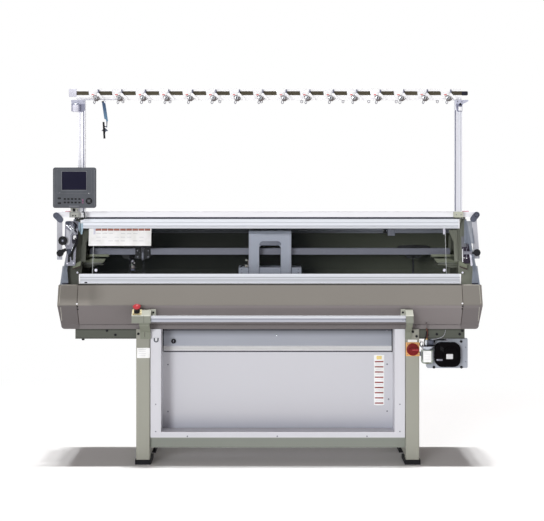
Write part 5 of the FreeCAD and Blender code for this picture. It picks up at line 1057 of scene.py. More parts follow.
class KNITTING_OT_crossbeam_trim(bpy.types.Operator):
    """Label strip in the crossbeam's channel, its end caps and the seams of the beam"""
    bl_idname = "knitting.crossbeam_trim"
    bl_label = "Crossbeam Trim"

    def execute(self, context):
        piece = Piece("beam_trim", "machine", "trim", ["crossbeam_trim"])
        line = [(98, 2034.2), (95.9, 2034.2), (95.9, 2041), (96.5, 2041.4), (96.5, 2042.4), (95.9, 2042.8),
            (95.9, 2048.4), (96.5, 2048.8), (96.5, 2049.8), (95.9, 2050.2), (95.9, 2055.8), (98, 2055.8)]
        piece.run("brown_strip", line, -1065.5, 1056)
        for z in (2041.9, 2049.3):
            piece.run("brown_strip_dark", [(96.5, z - 0.5), (96, z - 0.5), (96, z + 0.5), (96.5, z + 0.5)],
                -1065.3, 1055.8)
        piece.run("lilac_plastic", [(93, 2026), (137, 2026), (137, 2069), (93, 2069)], -1107.5, -1066.6, 4)
        piece.run("lilac_plastic", [(94.5, 2027.5), (135.5, 2027.5), (135.5, 2067.5), (94.5, 2067.5)],
            -1066.8, -1065.4, 4)
        piece.run("navy_plastic", [(95, 2034), (135, 2034), (135, 2056), (95, 2056)], 1056, 1087, 3)
        piece.run("navy_plastic", [(97, 2036), (133, 2036), (133, 2054), (97, 2054)], 1087, 1090, 3)
        piece.build()
        edge = Piece("beam_edge", "machine", "rail_aluminium")
        edge.run("steel", [(94.4, 2008.4), (95.2, 2008.4), (95.2, 2011), (94.4, 2011)], -1022, -836)
        for side in (-1, 1):
            edge.run("steel", [(95.6, 2007.6), (97, 2007.6), (97, 2008.2), (95.6, 2008.2)], side * 1000 - 30,
                side * 1000 + 30)
        edge.build()
        return {"FINISHED"}


class KNITTING_OT_post_fittings(bpy.types.Operator):
    """Bushes, screws and lines down the yarn stand's posts; the dark lines near their inner edges are painted
    shade of the posts' inner side faces.
    """
    bl_idname = "knitting.post_fittings"
    bl_label = "Post Fittings"

    def execute(self, context):
        piece = Piece("post_fittings", "machine", "rail_aluminium")
        piece.turned("lilac_plastic", upright(-1068.5, 86, 1943),
            [(19.5, 0), (21, 3), (21, 34), (19, 37), (12, 38)], 32)
        piece.turned("chrome", upright(-1068.5, 86, 1980.5), [(12, 0), (12, 8), (9, 10)], 24)
        piece.turned("black_plastic", (1046, 79.5, 1983.5), [(6.5, 0), (6.5, 2.6), (5, 3.4)], 20)
        piece.slab("white_plastic", (1046, 79.5, 1959), 20, 22, 1.6, 2, 0.6)
        for x in (-1052, -1026):
            piece.screw("steel", (x, 91.2, 1999), 3.2, 2.2)
        for x in (1033, 1056):
            piece.screw("steel", (x, 91.2, 1999), 3.2, 2.2)
        # Lines down the posts: the slate ones are painted shade of the posts' inner side faces.
        for x, wide, name in ((-1025.8, 5.2, "slate_line"), (-1047.5, 3, "lilac_plastic"),
                (1021.8, 4.6, "slate_line"), (1050.5, 1.8, "steel")):
            piece.slab(name, (x, 95.2, 1673), wide, 556, 0.9, 0.8, 0.3)
        for x in (-1038.5, 1038.5):
            for side in (-1, 1):
                piece.screw("steel", (x + side * 13, 90.4, 1376), 3, 2)
        piece.build()
        return {"FINISHED"}


class KNITTING_OT_window_details(bpy.types.Operator):
    """Pane edges, clips, placard plates, and a black oval of painted shade in the handle rail's slot"""
    bl_idname = "knitting.window_details"
    bl_label = "Window Details"

    def execute(self, context):
        piece = Piece("window_details", "window", "clear_pane")
        middle, length = 1174, 254
        for x in (-977.2, 971.2):
            piece.slab("pane_edge", (x, pane_y(middle) - 0.2, middle, PANE_TILT), 1.8, length, 0.8, 0.5, 0.2)
        piece.build()
        plates = Piece("window_plates", "window", "knob_white")
        y = pane_y(1250.5) - 0.3
        place = facing(-831, y, 1251, PANE_TILT)
        plates.slab("plate_white", place, 346, 100, 0.8, 2.5, 0.3)
        first = -119.5
        for number in range(9):
            plates.slab("plate_rust", self.on(place, first + 34 * number - 1, 41.8, 0.8), 31.4, 12, 0.35,
                0.8, 0.1)
        for number in range(8):
            centre = first + 34 * number
            for line in range(3):
                if (number + line) % 4 == 3:
                    continue
                plates.slab("plate_print", self.on(place, centre, 20 - 21 * line, 0.8), 25, 4, 0.2, 1.5, 0.1)
        plates.build()
        mark = Piece("handle_rail_details", "window", "rail_aluminium")
        # Black oval on the handle rail: painted shade in its slot.
        mark.slab("black_plastic", (-1012.5, 82.2, 1003), 16, 7, 0.6, 3.2, 0.2)
        for x, step in ((-1051, 1), (1051, -1)):
            mark.slab("white_plastic", (x + step * 3.6, 82.1, 1022.5), 6.4, 53, 0.6, 1, 0.2)
            mark.slab("white_plastic", (x + step * 3.6, 152.1, 1324.5), 6.4, 51, 0.6, 1, 0.2)
        for x in (-973, 969):
            mark.slab("lilac_plastic", (x, 158, 1353), 7, 5.5, 3, 1.5, 0.6)
        mark.plate("blue_clear", (-1043, 151.8, 1298), [(-8, 29), (7, 29), (7, -6), (3, -32), (-4, -32),
            (-8, -20)], 2.4, 1.5, 0.8)
        mark.build()
        return {"FINISHED"}

    @staticmethod
    def on(place, across, up, out):
        """A place moved along its own axes."""
        origin, axes = spot(place)
        return origin + np.array([across, up, out]) @ axes, axes


class KNITTING_OT_table_marks(bpy.types.Operator):
    """Tape marks on the table, a dark strip of painted shade in the gap under it, and small fittings at its
    front
    """
    bl_idname = "knitting.table_marks"
    bl_label = "Table Marks"

    def execute(self, context):
        piece = Piece("table_marks", "machine", "panel_paint")
        for x0, x1 in ((-1134.6, -1101.4), (1062.7, 1101.4)):
            piece.run("pink_tape", [(146, 1391.9), (190, 1391.9), (190, 1394.6), (146, 1394.6)], x0, x1, 1)
        # Dark strip under the table's front: painted shade in the gap above the top rail.
        piece.run("seam_slate", [(139.3, 1352.6), (141.6, 1352.6), (141.6, 1361.9), (139.3, 1361.9)], -1018,
            1016, 0.6)
        for x, z in ((-1182, 1371), (1142, 1374)):
            piece.ring("navy_plastic" if x > 0 else "slate_plastic", (x, 128.6, z), 11, 1.5, 30)
        for x, z in ((-1164.5, 1140), (-1164.5, 1345), (1143, 1146), (1127, 1345)):
            piece.screw("steel", (x, 140.2, z), 3, 2)
        piece.build()
        return {"FINISHED"}


class KNITTING_OT_carriage_details(bpy.types.Operator):
    """Connector and cable of the carriage, dark strips of painted shade in the gaps at its base and a darker
    plate of painted shade at the top of its arch
    """
    bl_idname = "knitting.carriage_details"
    bl_label = "Carriage Details"

    def execute(self, context):
        piece = Piece("carriage_details", "carriage", "carriage_paint")
        face = 204.9
        # Dark strips in the gaps at the base: painted shade.
        for x in (-61.5, 61.5):
            piece.slab("seam_slate", (x, 215.2, 1052), 4, 54, 0.5, 0.8, 0.2)
        for x in (-118.8, 118.8):
            piece.slab("seam_slate", (x, 215.2, 1054), 4, 50, 0.5, 0.8, 0.2)
        # Darker plate at the top of the arch: painted shade.
        piece.plate("arch_shade", (1, face + 0.1, 1214.6), [(-60, -12.4), (61.5, -12.4), (61.5, 0), (48, 12),
            (-46, 12), (-60, 0)], 0.9, 9, 0.3)
        for x in (-112, 112):
            piece.slab("steel", (x, face + 0.2, 1155), 1.6, 236, 0.4, 0.7, 0.2)
        piece.slab("steel", (0, face + 0.2, 1261), 222, 1.8, 0.4, 0.7, 0.2)
        for x in (-98, 98):
            piece.screw("steel", (x, 215, 1066), 4, 2)
        for x in (-158, 158):
            for z in (1049, 1068):
                piece.screw("steel", (x, 215, z), 3.6, 2)
        piece.slab("neck_enamel", (-134, 215, 1088), 19, 13.6, 8, 6, 2)
        piece.slab("bronze", (-131, 207.2, 1086), 6, 8, 1.4, 2, 0.5)
        piece.slab("neck_enamel", (-132, 215, 1119.6), 13, 9.4, 8, 4.5, 2)
        piece.slab("smoke_metal", (-120.6, 215, 1103), 5.6, 38, 6, 2, 1)
        piece.turned("black_plastic", (-141, 208, 1088), [(3.6, 0), (3.6, 1.4), (2.8, 2)], 16)
        piece.turned("steel", upright(-139, 222, 1079), [(5, 0), (5, 9), (4, 10)], 18)
        piece.tube("black_plastic", [(-139, 221, 1090), (-152, 221, 1089), (-168, 221, 1078),
            (-178, 221, 1060), (-180.5, 221, 1032)], 4.2, 12, 26)
        piece.build()
        return {"FINISHED"}


class KNITTING_OT_feeder_details(bpy.types.Operator):
    """Pins, screws and yarn eyes of the three feeders"""
    bl_idname = "knitting.feeder_details"
    bl_label = "Feeder Details"

    def execute(self, context):
        front = Piece("feeder_front_details", "feeder_1", "feeder_black")
        x, y = -714, 269.5
        front.slab("feeder_rail", (x, y, 1140), 11, 42, 2.4, 2, 1)
        for z in (1181, 1170):
            front.ring("steel", (x, y - 0.5, z), 5.2, 1.1, 20)
        for side in (-1, 1):
            for z in (1136, 1170):
                front.screw("steel", (x + side * 30, 272.4, z), 3.4, 2)
        front.ring("chrome", (x, 322, 1040), 3.4, 0.8, 16)
        front.build()
        second = Piece("feeder_second_details", "feeder_2", "feeder_black")
        x, y = -790, 301.5
        second.slab("channel", (x, y, 1140), 8, 40, 2, 3, 0.8)
        second.turned("lens_black", (x + 12, 299.4, 1136), [(15, 0), (15, 4), (12, 6)], 24)
        second.slab("key_plastic", (x + 15, 330.4, 1088), 26, 66, 1.8, 4, 0.5)
        second.turned("steel", (x + 15, 328.8, 1108), [(8.6, 0), (8.6, 8), (6, 10), (3, 10.4)], 24)
        second.slab("bowl", (x + 8, 328.8, 1088), 12, 12, 2.6, 3, 0.8)
        second.turned("smoke_metal", (x + 16, 328.8, 1074), [(11, 0), (11, 1.4), (9, 2.4), (4, 2.8)], 24)
        second.slab("slate_line", (x + 15, 328.8, 1060), 22, 9, 2.4, 3, 0.8)
        for across, size in ((24, 3.4), (6, 2.6)):
            second.turned("plate_print", (x + across, 328.8, 1098),
                [(size, 0), (size, 2.4), (size * 0.6, 3)], 14)
        second.ring("chrome", (x, 326, 1040), 3.4, 0.8, 16)
        second.build()
        rear = Piece("feeder_rear_details", "feeder_3", "feeder_black")
        x, y = 809, 333.5
        rear.slab("lens_black", (x, y, 1150), 8, 52, 2, 3, 0.8)
        rear.plate("lens_black", (x, 342, 1189.5), [(-93, 3), (-62, 3), (-52, 8), (-20, 10), (40, 10),
            (80, 7), (98, 0), (96, -6.5), (-50, -6.5), (-60, 0)], 5, 3, 1.2)
        rear.ring("chrome", (x, 330, 1040), 3.4, 0.8, 16)
        rear.build()
        return {"FINISHED"}


class KNITTING_OT_inner_fittings(bpy.types.Operator):
    """Sensor blocks, brackets and cable chain behind the window"""
    bl_idname = "knitting.inner_fittings"
    bl_label = "Inner Fittings"

    def execute(self, context):
        piece = Piece("inner_fittings", "machine", "inner_olive")
        piece.slab("key_plastic", (660, 460.8, 1274), 26, 20, 6, 2.5, 1)
        for x in (648, 668):
            piece.turned("chrome", (x, 454.9, 1276), [(3.2, 0), (3.2, 1.6), (2.4, 2.2)], 14)
        piece.slab("channel", (696, 459.9, 1271), 37, 43, 3, 3, 1)
        piece.slab("steel", (696, 456.9, 1284), 30, 2, 0.5, 0.8, 0.2)
        for x in (-930, -1000):
            piece.screw("key_plastic", (x, 461.8, 1279), 5, 3)
        for side in (-1, 1):
            piece.run("steel", [(181, 1104.8), (284, 1112.4), (284, 1113.6), (181, 1106)], side * 983 - 48,
                side * 983 + 48)
            piece.screw("steel", (side * 958, 269.8, 1141), 3.2, 2.2)
            piece.screw("steel", (side * 1012, 269.8, 1141), 3.2, 2.2)
        piece.build()
        return {"FINISHED"}


class KNITTING_OT_inner_ends(bpy.types.Operator):
    """Dark strips that close the back wall to the ends, ribs and screws of the end castings"""
    bl_idname = "knitting.inner_ends"
    bl_label = "Inner Ends"

    def execute(self, context):
        wall = Piece("wall_ends", "machine", "wall_olive")
        for side in (-1, 1):
            low, high = sorted((side * 1020.5, side * 1132))
            wall.run("wall", [(571.5, 994.5), (576, 994.5), (576, 1358), (571.5, 1358)], low, high, 1)
        wall.build()
        piece = Piece("end_casting_details", "machine", "inner_olive")
        for side in (-1, 1):
            self.flat(piece, "inner_enamel", side, pane_y(1200) + 16, PANE_TILT,
                [(990, 1292), (1040, 1292), (1040, 1112), (1018, 1112), (1018, 1222)], 3)
            self.flat(piece, "olive_cast", side, 188, 0, [(896, 1154), (1006, 1154), (1006, 1141),
                (896, 1141)], 3)
            self.flat(piece, "olive_cast", side, 188, 0, [(912, 1130), (994, 1130), (1040, 1112),
                (1040, 1098), (930, 1106)], 4)
            self.flat(piece, "inner_enamel", side, 192, 0, [(930, 1106), (1040, 1098), (1040, 1080),
                (1012, 1078), (950, 1096)], 3)
            self.flat(piece, "olive_cast", side, slope_y(1110) + 0.6, SLOPE_TILT,
                [(1042, 1122), (1042, 1096), (1084, 1080), (1086, 1098)], 3)
            # Dark line under the raised plate: painted shade.
            self.flat(piece, "seam_dark", side, slope_y(1090) - 0.2, SLOPE_TILT,
                [(1042, 1095), (1042, 1088), (1084, 1072), (1086, 1080)], 1)
            self.flat(piece, "shield", side, slope_y(1045) - 1, SLOPE_TILT,
                [(1106, 1000), (1150, 1000), (1141, 1096), (1116, 1096)], 1.4)
            if side > 0:
                self.flat(piece, "shield", side, slope_y(1290) - 1, SLOPE_TILT,
                    [(1070, 1214), (1128, 1214), (1119, 1342), (1076, 1342)], 1.4)
            piece.turned("lilac_plastic", (side * 1058, slope_y(1058) - 0.2, 1058, SLOPE_TILT),
                [(5.4, 0), (5.4, 2), (4, 3.4)], 20)
            # Dark plate in a small recess low on the shoulder: painted shade.
            piece.slab("navy_plastic", (side * 1124, slope_y(1000) - 0.2, 1000.5, SLOPE_TILT), 34, 11, 1, 3,
                0.3)
        piece.build()
        return {"FINISHED"}

    @staticmethod
    def flat(piece, name, side, y, tilt, corners, thick):
        """Flat plate from corners of (x, z), mirrored for the left end, at the depth y of their middle."""
        corners = np.array(corners, float) * (side, 1)
        middle = corners.mean(0)
        piece.plate(name, (middle[0], y, middle[1], tilt), (corners - middle)[::side], thick, 3,
            min(0.8, thick / 3))


class KNITTING_OT_side_tensions(bpy.types.Operator):
    """Springs, eyelets and levers' discs of the side tension units"""
    bl_idname = "knitting.side_tensions"
    bl_label = "Side Tension Units"

    def execute(self, context):
        piece = Piece("side_tension_details", "machine", "bracket_steel")

        def on_left(x, z, out=0):
            """On the left bracket's face."""
            return facing(x, slope_y(z) - 12 - out, z, SLOPE_TILT)

        piece.slab("white_plastic", on_left(-1078, 1250), 17, 22, 3, 5, 1)
        piece.border("key_plastic", on_left(-1078, 1250), 24, 30, 3, 2, 6)
        piece.turned("key_plastic", on_left(-1074, 1244, 3), [(4, 0), (4, 1), (2, 1.4)], 16)
        for start, end, width in (((-1128, 1322), (-1096, 1292), 4), ((-1108, 1318), (-1078, 1290), 3),
                ((-1096, 1300), (-1100, 1262), 3.2)):
            piece.tube("chrome", [(start[0], slope_y(start[1]) - 16, start[1]),
                (end[0], slope_y(end[1]) - 17, end[1])], width, 10)
        piece.tube("black_plastic", [(-1066, slope_y(1240) - 16, 1240), (-1070, slope_y(1215) - 19, 1215),
            (-1084, slope_y(1180) - 20, 1180), (-1100, slope_y(1146) - 18, 1146)], 5, 12, 24)
        piece.tube("black_plastic", [(-1086, slope_y(1334) - 15, 1334), (-1072, slope_y(1318) - 17, 1318),
            (-1078, slope_y(1296) - 18, 1296), (-1068, slope_y(1278) - 16, 1278)], 4, 12, 24)
        spring = np.linspace(0, 1, 80)
        turn = spring * 8 * 2 * math.pi
        piece.tube("chrome", np.stack([-1092 + 12 * spring + 4.2 * np.cos(turn),
            slope_y(1180 + 36 * spring) - 18 + 4.2 * np.sin(turn), 1180 + 36 * spring], axis=1), 1, 6)
        for x, z in ((-1104, 1326), (-1072, 1328), (-1080, 1206), (-1112, 1206)):
            piece.screw("steel", on_left(x, z), 4.4, 2.6)
        for outline, name in (([(-1132, 1338), (-1102, 1340), (-1096, 1326), (-1104, 1316), (-1130, 1320)],
                "slate_plastic"), ([(-1088, 1330), (-1064, 1322), (-1062, 1300), (-1074, 1296),
                (-1090, 1316)], "slate_plastic"), ([(-1092, 1262), (-1060, 1268), (-1060, 1218),
                (-1072, 1190), (-1092, 1222)], "navy_plastic"), ([(-1118, 1188), (-1096, 1188),
                (-1092, 1168), (-1108, 1152), (-1120, 1166)], "slate_plastic"),
                ([(-1126, 1300), (-1106, 1286), (-1100, 1240), (-1108, 1200), (-1122, 1210)], "strip_coat")):
            middle = np.array(outline, float).mean(0)
            piece.plate(name, on_left(middle[0], middle[1]), np.array(outline, float) - middle, 1.4, 5, 0.5)
        for start, end in (((-1100, 1306), (-1072, 1262)), ((-1076, 1308), (-1098, 1268))):
            piece.tube("chrome", [(start[0], slope_y(start[1]) - 18, start[1]),
                (end[0], slope_y(end[1]) - 19, end[1])], 1.6, 8)
        for x, z in ((-1106, 1138), (-1088, 1150)):
            piece.border("navy_plastic", on_left(x, z), 12, 48, 2, 0.8, 5)
        for x, z in ((-1114, 1108), (-1080, 1110)):
            piece.turned("lilac_plastic", on_left(x, z), [(4, 0), (4, 1.6), (3, 2.2), (1.6, 2.2)], 20)
        piece.plate("blue_clear", (-1057, slope_y(1301) - 4.5, 1301, SLOPE_TILT),
            [(-4, 33), (4.2, 33), (4.2, -24), (-4, 2)], 3, 1, 0.8)
        piece.build()

        right = Piece("right_tension_details", "machine", "bracket_steel")

        def on_right(x, z, out=0):
            """On the face of the dark unit at the right shoulder."""
            return facing(x, slope_y(z) + 14 - out, z, SLOPE_TILT)

        right.slab("violet_dark", on_right(1082, 1160), 42, 108, 2, 4, 1)
        for x, z, tall in ((1069, 1172, 40), (1085, 1166, 52)):
            right.slab("steel", on_right(x, z, 2), 3, tall, 0.8, 1, 0.3)
        for x, z in ((1070, 1138), (1084, 1136)):
            right.turned("white_plastic", on_right(x, z, 2), [(3.4, 0), (3.4, 1), (2.4, 1.6)], 16)
        right.slab("white_plastic", (1061.5, slope_y(1150) + 6, 1150, SLOPE_TILT), 4.5, 74, 2.4, 1.5, 0.6)
        right.plate("lilac_plastic", (1103, slope_y(1130) + 3, 1130, SLOPE_TILT),
            [(-5, 44), (5, 40), (13, -34), (2, -40)], 3, 3, 0.8)
        right.slab("edge_plastic", (1072, slope_y(1226) + 12, 1226, SLOPE_TILT), 28, 60, 1.2, 3, 0.4)
        right.slab("steel", (1092, slope_y(1250) + 9, 1250, SLOPE_TILT), 2, 130, 1, 0.8, 0.3)
        right.build()

        disc = Piece("left_knob_face", "tension_knob", "tool_black")
        y = slope_y(1233) - 20 - 14
        disc.turned("rubber", (-1141, y + 13.5, 1233), [(23.2, 0), (24.3, 1), (24.3, 11.5), (22.5, 14.2),
            (15.5, 14.2), (13.2, 12.5)], 48)
        for number in range(16):
            angle = 2 * math.pi * number / 16
            disc.turned("rubber", (-1141 + 24 * math.cos(angle), y + 13.5, 1233 + 24 * math.sin(angle)),
                [(1.6, 0), (1.6, 12), (1, 13)], 8)
        disc.turned("slate_plastic", (-1141, y + 3, 1233), [(12, 0), (12, 1), (6, 2.6), (3, 2.8)], 28)
        disc.build()
        for name, body, x, z, hub in (("left_lever_face", "lever_left", -1154, 1165, (-1128, 1183)),
                ("right_lever_face", "lever_right", 1138, 1168, (1118, 1166))):
            back = slope_y(hub[1]) - (20 if x < 0 else 16.3)
            lever = Piece(name, body, "tool_black")
            lever.turned("rubber", (x, back - 13.6, z), [(18.6, 0), (18.2, 1), (12, 2.6), (5, 3)], 36)
            lever.turned("key_plastic", (hub[0], back - 14.2, hub[1]), [(7.4, 0), (7.4, 1.4), (5.8, 2.2)], 20)
            run = np.array([hub[0] - x, hub[1] - z])
            length = float(np.linalg.norm(run))
            run, side = run / length, np.array([-run[1], run[0]]) / length
            outline = np.array([-run * 4 + side * 17, run * length + side * 8, run * (length + 7),
                run * length - side * 8, -run * 4 - side * 17])
            lever.plate("rubber", (x, back - 8, z), outline, 5.6, 6, 1.5)
            lever.build()
        return {"FINISHED"}


class KNITTING_OT_hull_details(bpy.types.Operator):
    """Seam buttons of the covers, a raised strip along their foot, dark strips of painted shade in their
    seams and in the gap along their foot, and light strips of painted highlight along the end covers' edges
    """
    bl_idname = "knitting.hull_details"
    bl_label = "Cover Details"

    def execute(self, context):
        piece = Piece("hull_buttons", "machine", "hull_paint")
        for x, z, name in ((-1053.2, 891, "white_plastic"), (-1050.4, 876.3, "key_plastic"),
                (-1050.4, 861, "key_plastic"), (1049.4, 893.8, "white_plastic"),
                (1050.4, 880.1, "key_plastic"), (1049.9, 863.8, "key_plastic")):
            y, tilt = cover_face(z)
            piece.turned(name, (x, y, z, tilt), [(4.6, -0.2), (4.6, 1.6), (3.4, 2.6)], 18)
        # Dark strip in the gap between the cover's foot and the belly pan: painted shade.
        piece.run("seam_black", [(113, 767.4), (116, 767.4), (116, 773.2), (113, 773.2)], -1051, 1051)
        piece.run("hull", [(109.4, 763.6), (112.6, 763.6), (112.6, 768.8), (109.4, 768.8)], -1051, 1051, 0.8)
        for side in (-1, 1):
            x = side * 1052.5
            # Dark tube along the seam between front and end cover: painted shade.
            piece.tube("seam_dark", [(x, 57, 993.4), (x, 28, 938.5), (x, 5, 893), (x, 2.6, 884), (x, 8, 875),
                (x, 52.5, 827), (x, 103, 772)], 1.7, 8)
            # Light strips along the end cover's top and outer edges: painted highlights.
            piece.slab("edge_light", (side * 1105, cover_face(991)[0] + 1.2, 991, UPPER_TILT), 86, 3.4, 1.4,
                1.4, 0.5)
            for z, inward, top in ((938, 3, 56), (828, 7.5, 62)):
                y, tilt = cover_face(z)
                piece.plate("edge_light", (side * (1152 - inward), y + 1.3, z, tilt),
                    [(-side * 2 - 1.2, top), (-side * 2 + 1.2, top), (side * 1 + 1.2, -50),
                    (side * 1 - 1.2, -50)], 1.2, 0.8, 0.4)
        piece.build()
        return {"FINISHED"}


class KNITTING_OT_start_bar_details(bpy.types.Operator):
    """Collar, screws and seams of the start bar and the emergency stop; the dark line on the bracket's arm is
    painted shade in the gap between its two arms
    """
    bl_idname = "knitting.start_bar_details"
    bl_label = "Start Bar Details"

    def execute(self, context):
        piece = Piece("bar_bracket_details", "machine", "bracket_paint")
        seat = np.array([-723.5, -14, 847.9])
        place = facing(*seat, STOP_TILT)
        out = place[1][2]
        piece.turned("key_plastic", (seat + out * 2, place[1]), [(17, 0), (17, 9), (15.5, 11), (12.3, 11)],
            32)
        for x, z in ((-636, 844.8), (724.7, 844.8)):
            piece.screw("key_plastic", (x, 9, z), 5.7, 8)
        # Dark line on the bracket's arm: painted shade in the gap between its two arms.
        piece.slab("seam_dark", (-689, 84.8, 722), 2.2, 40, 0.6, 0.8, 0.2)
        piece.slab("key_plastic", (-685, -39.8, 811), 1.2, 42, 0.5, 0.4, 0.1)
        piece.build()
        bar = Piece("bar_details", "bar", "rail_aluminium")
        for x in (-646.4, 737.1):
            bar.slab("slate_plastic", (x, -30.6, 808), 1.6, 14, 0.8, 0.6, 0.2)
        bar.screw("steel", (722, -31, 806), 2.6, 1.2)
        bar.build()
        return {"FINISHED"}


class KNITTING_OT_stand_details(bpy.types.Operator):
    """Screws on legs and beams, plates, and the take-down bay's fixings; black strips in the gaps beside the
    flap and a dark strip under its lip are painted shade
    """
    bl_idname = "knitting.stand_details"
    bl_label = "Stand Details"

    def execute(self, context):
        piece = Piece("stand_screws", "machine", "frame_paint")
        for x, z in ((-725.5, 719.8), (787.2, 731.3), (807.6, 706)):
            piece.screw("key_plastic", (x, 97.2, z), 7, 4.5)
        for x, z in ((-899.4, 736), (-853.1, 712.3), (868, 712.8), (920.4, 716.2), (1046.7, 716.2),
                (1061.1, 734.9)):
            piece.screw("key_plastic", (x, 112.2, z), 7, 4.5)
        under = (np.array([-1032.9, 130, 691.2]), np.array([[1, 0, 0], [0, -1, 0], [0, 0, -1]]))
        piece.turned("key_plastic", under, [(8, 0), (8, 8), (6, 10)], 18)
        for x, z in ((-571.7, 533), (-571.7, 269.6), (656.3, 534.7), (656.3, 271.8), (664.1, 339.1)):
            piece.screw("steel", (x, 255.2, z), 4.4, 2.6)
        for x in (-455.4, 40.2, 534.8):
            piece.screw("steel", (x, 105.2, 153.9), 4, 2.4)
        for x in (-630, 716):
            for z in (180, 330):
                piece.screw("steel", (x, 105.2, z), 3.6, 2)
        piece.tube("slate_plastic", [(-637.5, 101, 696), (-637.5, 101, 682), (-634, 101, 676.5),
            (-627.5, 101, 675), (-621, 101, 676.5), (-617.5, 101, 682), (-617.5, 101, 696)], 2.6, 10, 30)
        piece.slab("white_plastic", (-627.5, 105, 688), 13, 20, 2, 3, 0.8)
        # Black strips behind the gaps beside the flap: painted shade.
        piece.slab("key_plastic", (-597, 262, 668), 19, 136, 2, 2, 0.5)
        piece.slab("key_plastic", (686, 262, 672), 9, 136, 2, 2, 0.5)
        # Dark strip under the flap's lip: painted shade in the gap above the chute panel.
        piece.slab("seam_black", (46, 255.2, 605.4), 1282, 5, 1.6, 1.5, 0.5)
        piece.build()
        plates = Piece("stand_plates", "machine", "panel_paint")
        place = facing(-697.2, 97, 614.5)
        plates.slab("plate_white", place, 71, 56, 0.8, 3, 0.3)
        for number in range(4):
            plates.slab("plate_print", (-704, 96.2, 632 - 11 * number), 44 - 6 * (number % 2), 4, 0.2, 1.5,
                0.1)
        plates.slab("plate_white", (784.2, 97, 680.4), 51, 14, 0.8, 2, 0.3)
        notice = facing(611.6, 255, 446.6)
        plates.slab("plate_white", notice, 57, 281, 0.6, 3, 0.2)
        for number in range(9):
            plates.slab("notice_red", (611.6, 254.4, 549 - 29 * number), 48, 7, 0.3, 1, 0.1)
            plates.slab("plate_print", (611.6, 254.4, 536 - 29 * number), 40, 3, 0.2, 1, 0.1)
        plates.slab("stop_yellow", (611.6, 254.4, 572), 30, 20, 0.3, 4, 0.1)
        plates.build()
        flap = Piece("flap_details", "flap", "flap_sheet")
        flap.turned("chrome", (38.1, 251.2, 695.9), [(4, 0), (4, 1.2), (2.8, 2)], 16)
        for x in (-570, 655):
            flap.turned("steel", (x, 251.2, 722), [(4.6, 0), (4.6, 1.2), (3.4, 2)], 16)
        flap.build()
        latch = Piece("latch_face", "latch", "latch_black")
        latch.turned("rubber", (-540, 241.2, 665), [(13.3, 0), (13.3, 0.8), (11, 2.6), (6, 3)], 32)
        latch.slab("steel", (-540, 238.4, 665), 2.4, 15, 0.7, 1, 0.3)
        latch.build()
        return {"FINISHED"}


class KNITTING_OT_switch_details(bpy.types.Operator):
    """Rim, screws and grip line of the main switch"""
    bl_idname = "knitting.switch_details"
    bl_label = "Main Switch Details"

    def execute(self, context):
        plate = Piece("switch_plate_details", "machine", "switch_yellow")
        for x in (-29, 29):
            for z in (-29, 29):
                plate.screw("steel", (785.5 + x, 91.2, 635 + z), 2.8, 1.4)
        plate.build()
        grip = Piece("switch_grip", "main_switch", "switch_red")
        grip.turned("switch_red", (785.5, 76.8, 635), [(33, 0), (33.6, 0.6), (31, 2.4), (26, 2.4), (24.5, 1),
            (10, 1)], 48)
        grip.plate("grip_red", (798, 62.8, 633), [(-16, 3.5), (18, 5), (18, -4), (-16, -3.5)], 0.8, 2.5, 0.3)
        grip.build()
        return {"FINISHED"}


class KNITTING_OT_blower_details(bpy.types.Operator):
    """Bolts, plates and wire of the blower"""
    bl_idname = "knitting.blower_details"
    bl_label = "Blower Details"

    def execute(self, context):
        piece = Piece("blower_details", "machine", "blower_paint")
        for x, z in ((908, 672.7), (1059, 672.7), (908, 529.8), (1060.5, 529.8)):
            piece.screw("key_plastic", (x, 150.2, z), 7.5, 5)
        for z in (560, 640):
            piece.screw("steel", (1084, 154.2, z), 3.4, 2)
        piece.slab("lilac_plastic", (976, 150, 681), 20, 14, 9, 3, 1.4)
        piece.slab("steel", (978, 141.2, 681), 12, 7, 2, 1.5, 0.5)
        piece.tube("strip_coat", [(969, 111, 739), (965, 104, 724), (952, 98, 704), (928, 95, 695),
            (892, 95, 686)], 1.2, 8, 30)
        piece.tube("key_plastic", [(974, 141, 681), (960, 132, 683), (930, 128, 684), (896, 118, 682),
            (884, 104, 676)], 3.4, 10, 30)
        piece.build()
        motor = Piece("blower_motor_details", "machine", "motor_black")
        motor.turned("motor_black", (999, 95.2, 603), [(41, 0), (41, 1), (39, 2.4), (30, 2.4), (28, 1),
            (12, 1)], 44)
        motor.slab("plate_print", (989, 93.4, 595), 37, 27, 1.2, 1.6, 0.3)
        motor.slab("steel", (935, 102.2, 575), 33, 10, 0.8, 2, 0.3)
        for degrees in (-14, 22, 62, 118, 158, 194, 242, 298):
            angle = math.radians(degrees)
            motor.screw("steel", (980.5 + 69 * math.cos(angle), 109.2, 603 + 69 * math.sin(angle)), 3.2, 1.8)
        for number in range(7):
            motor.slab("key_plastic", (940 + 3 * number, 103, 640 - 2 * number), 1.6, 24, 0.8, 0.6, 0.2)
        motor.build()
        return {"FINISHED"}


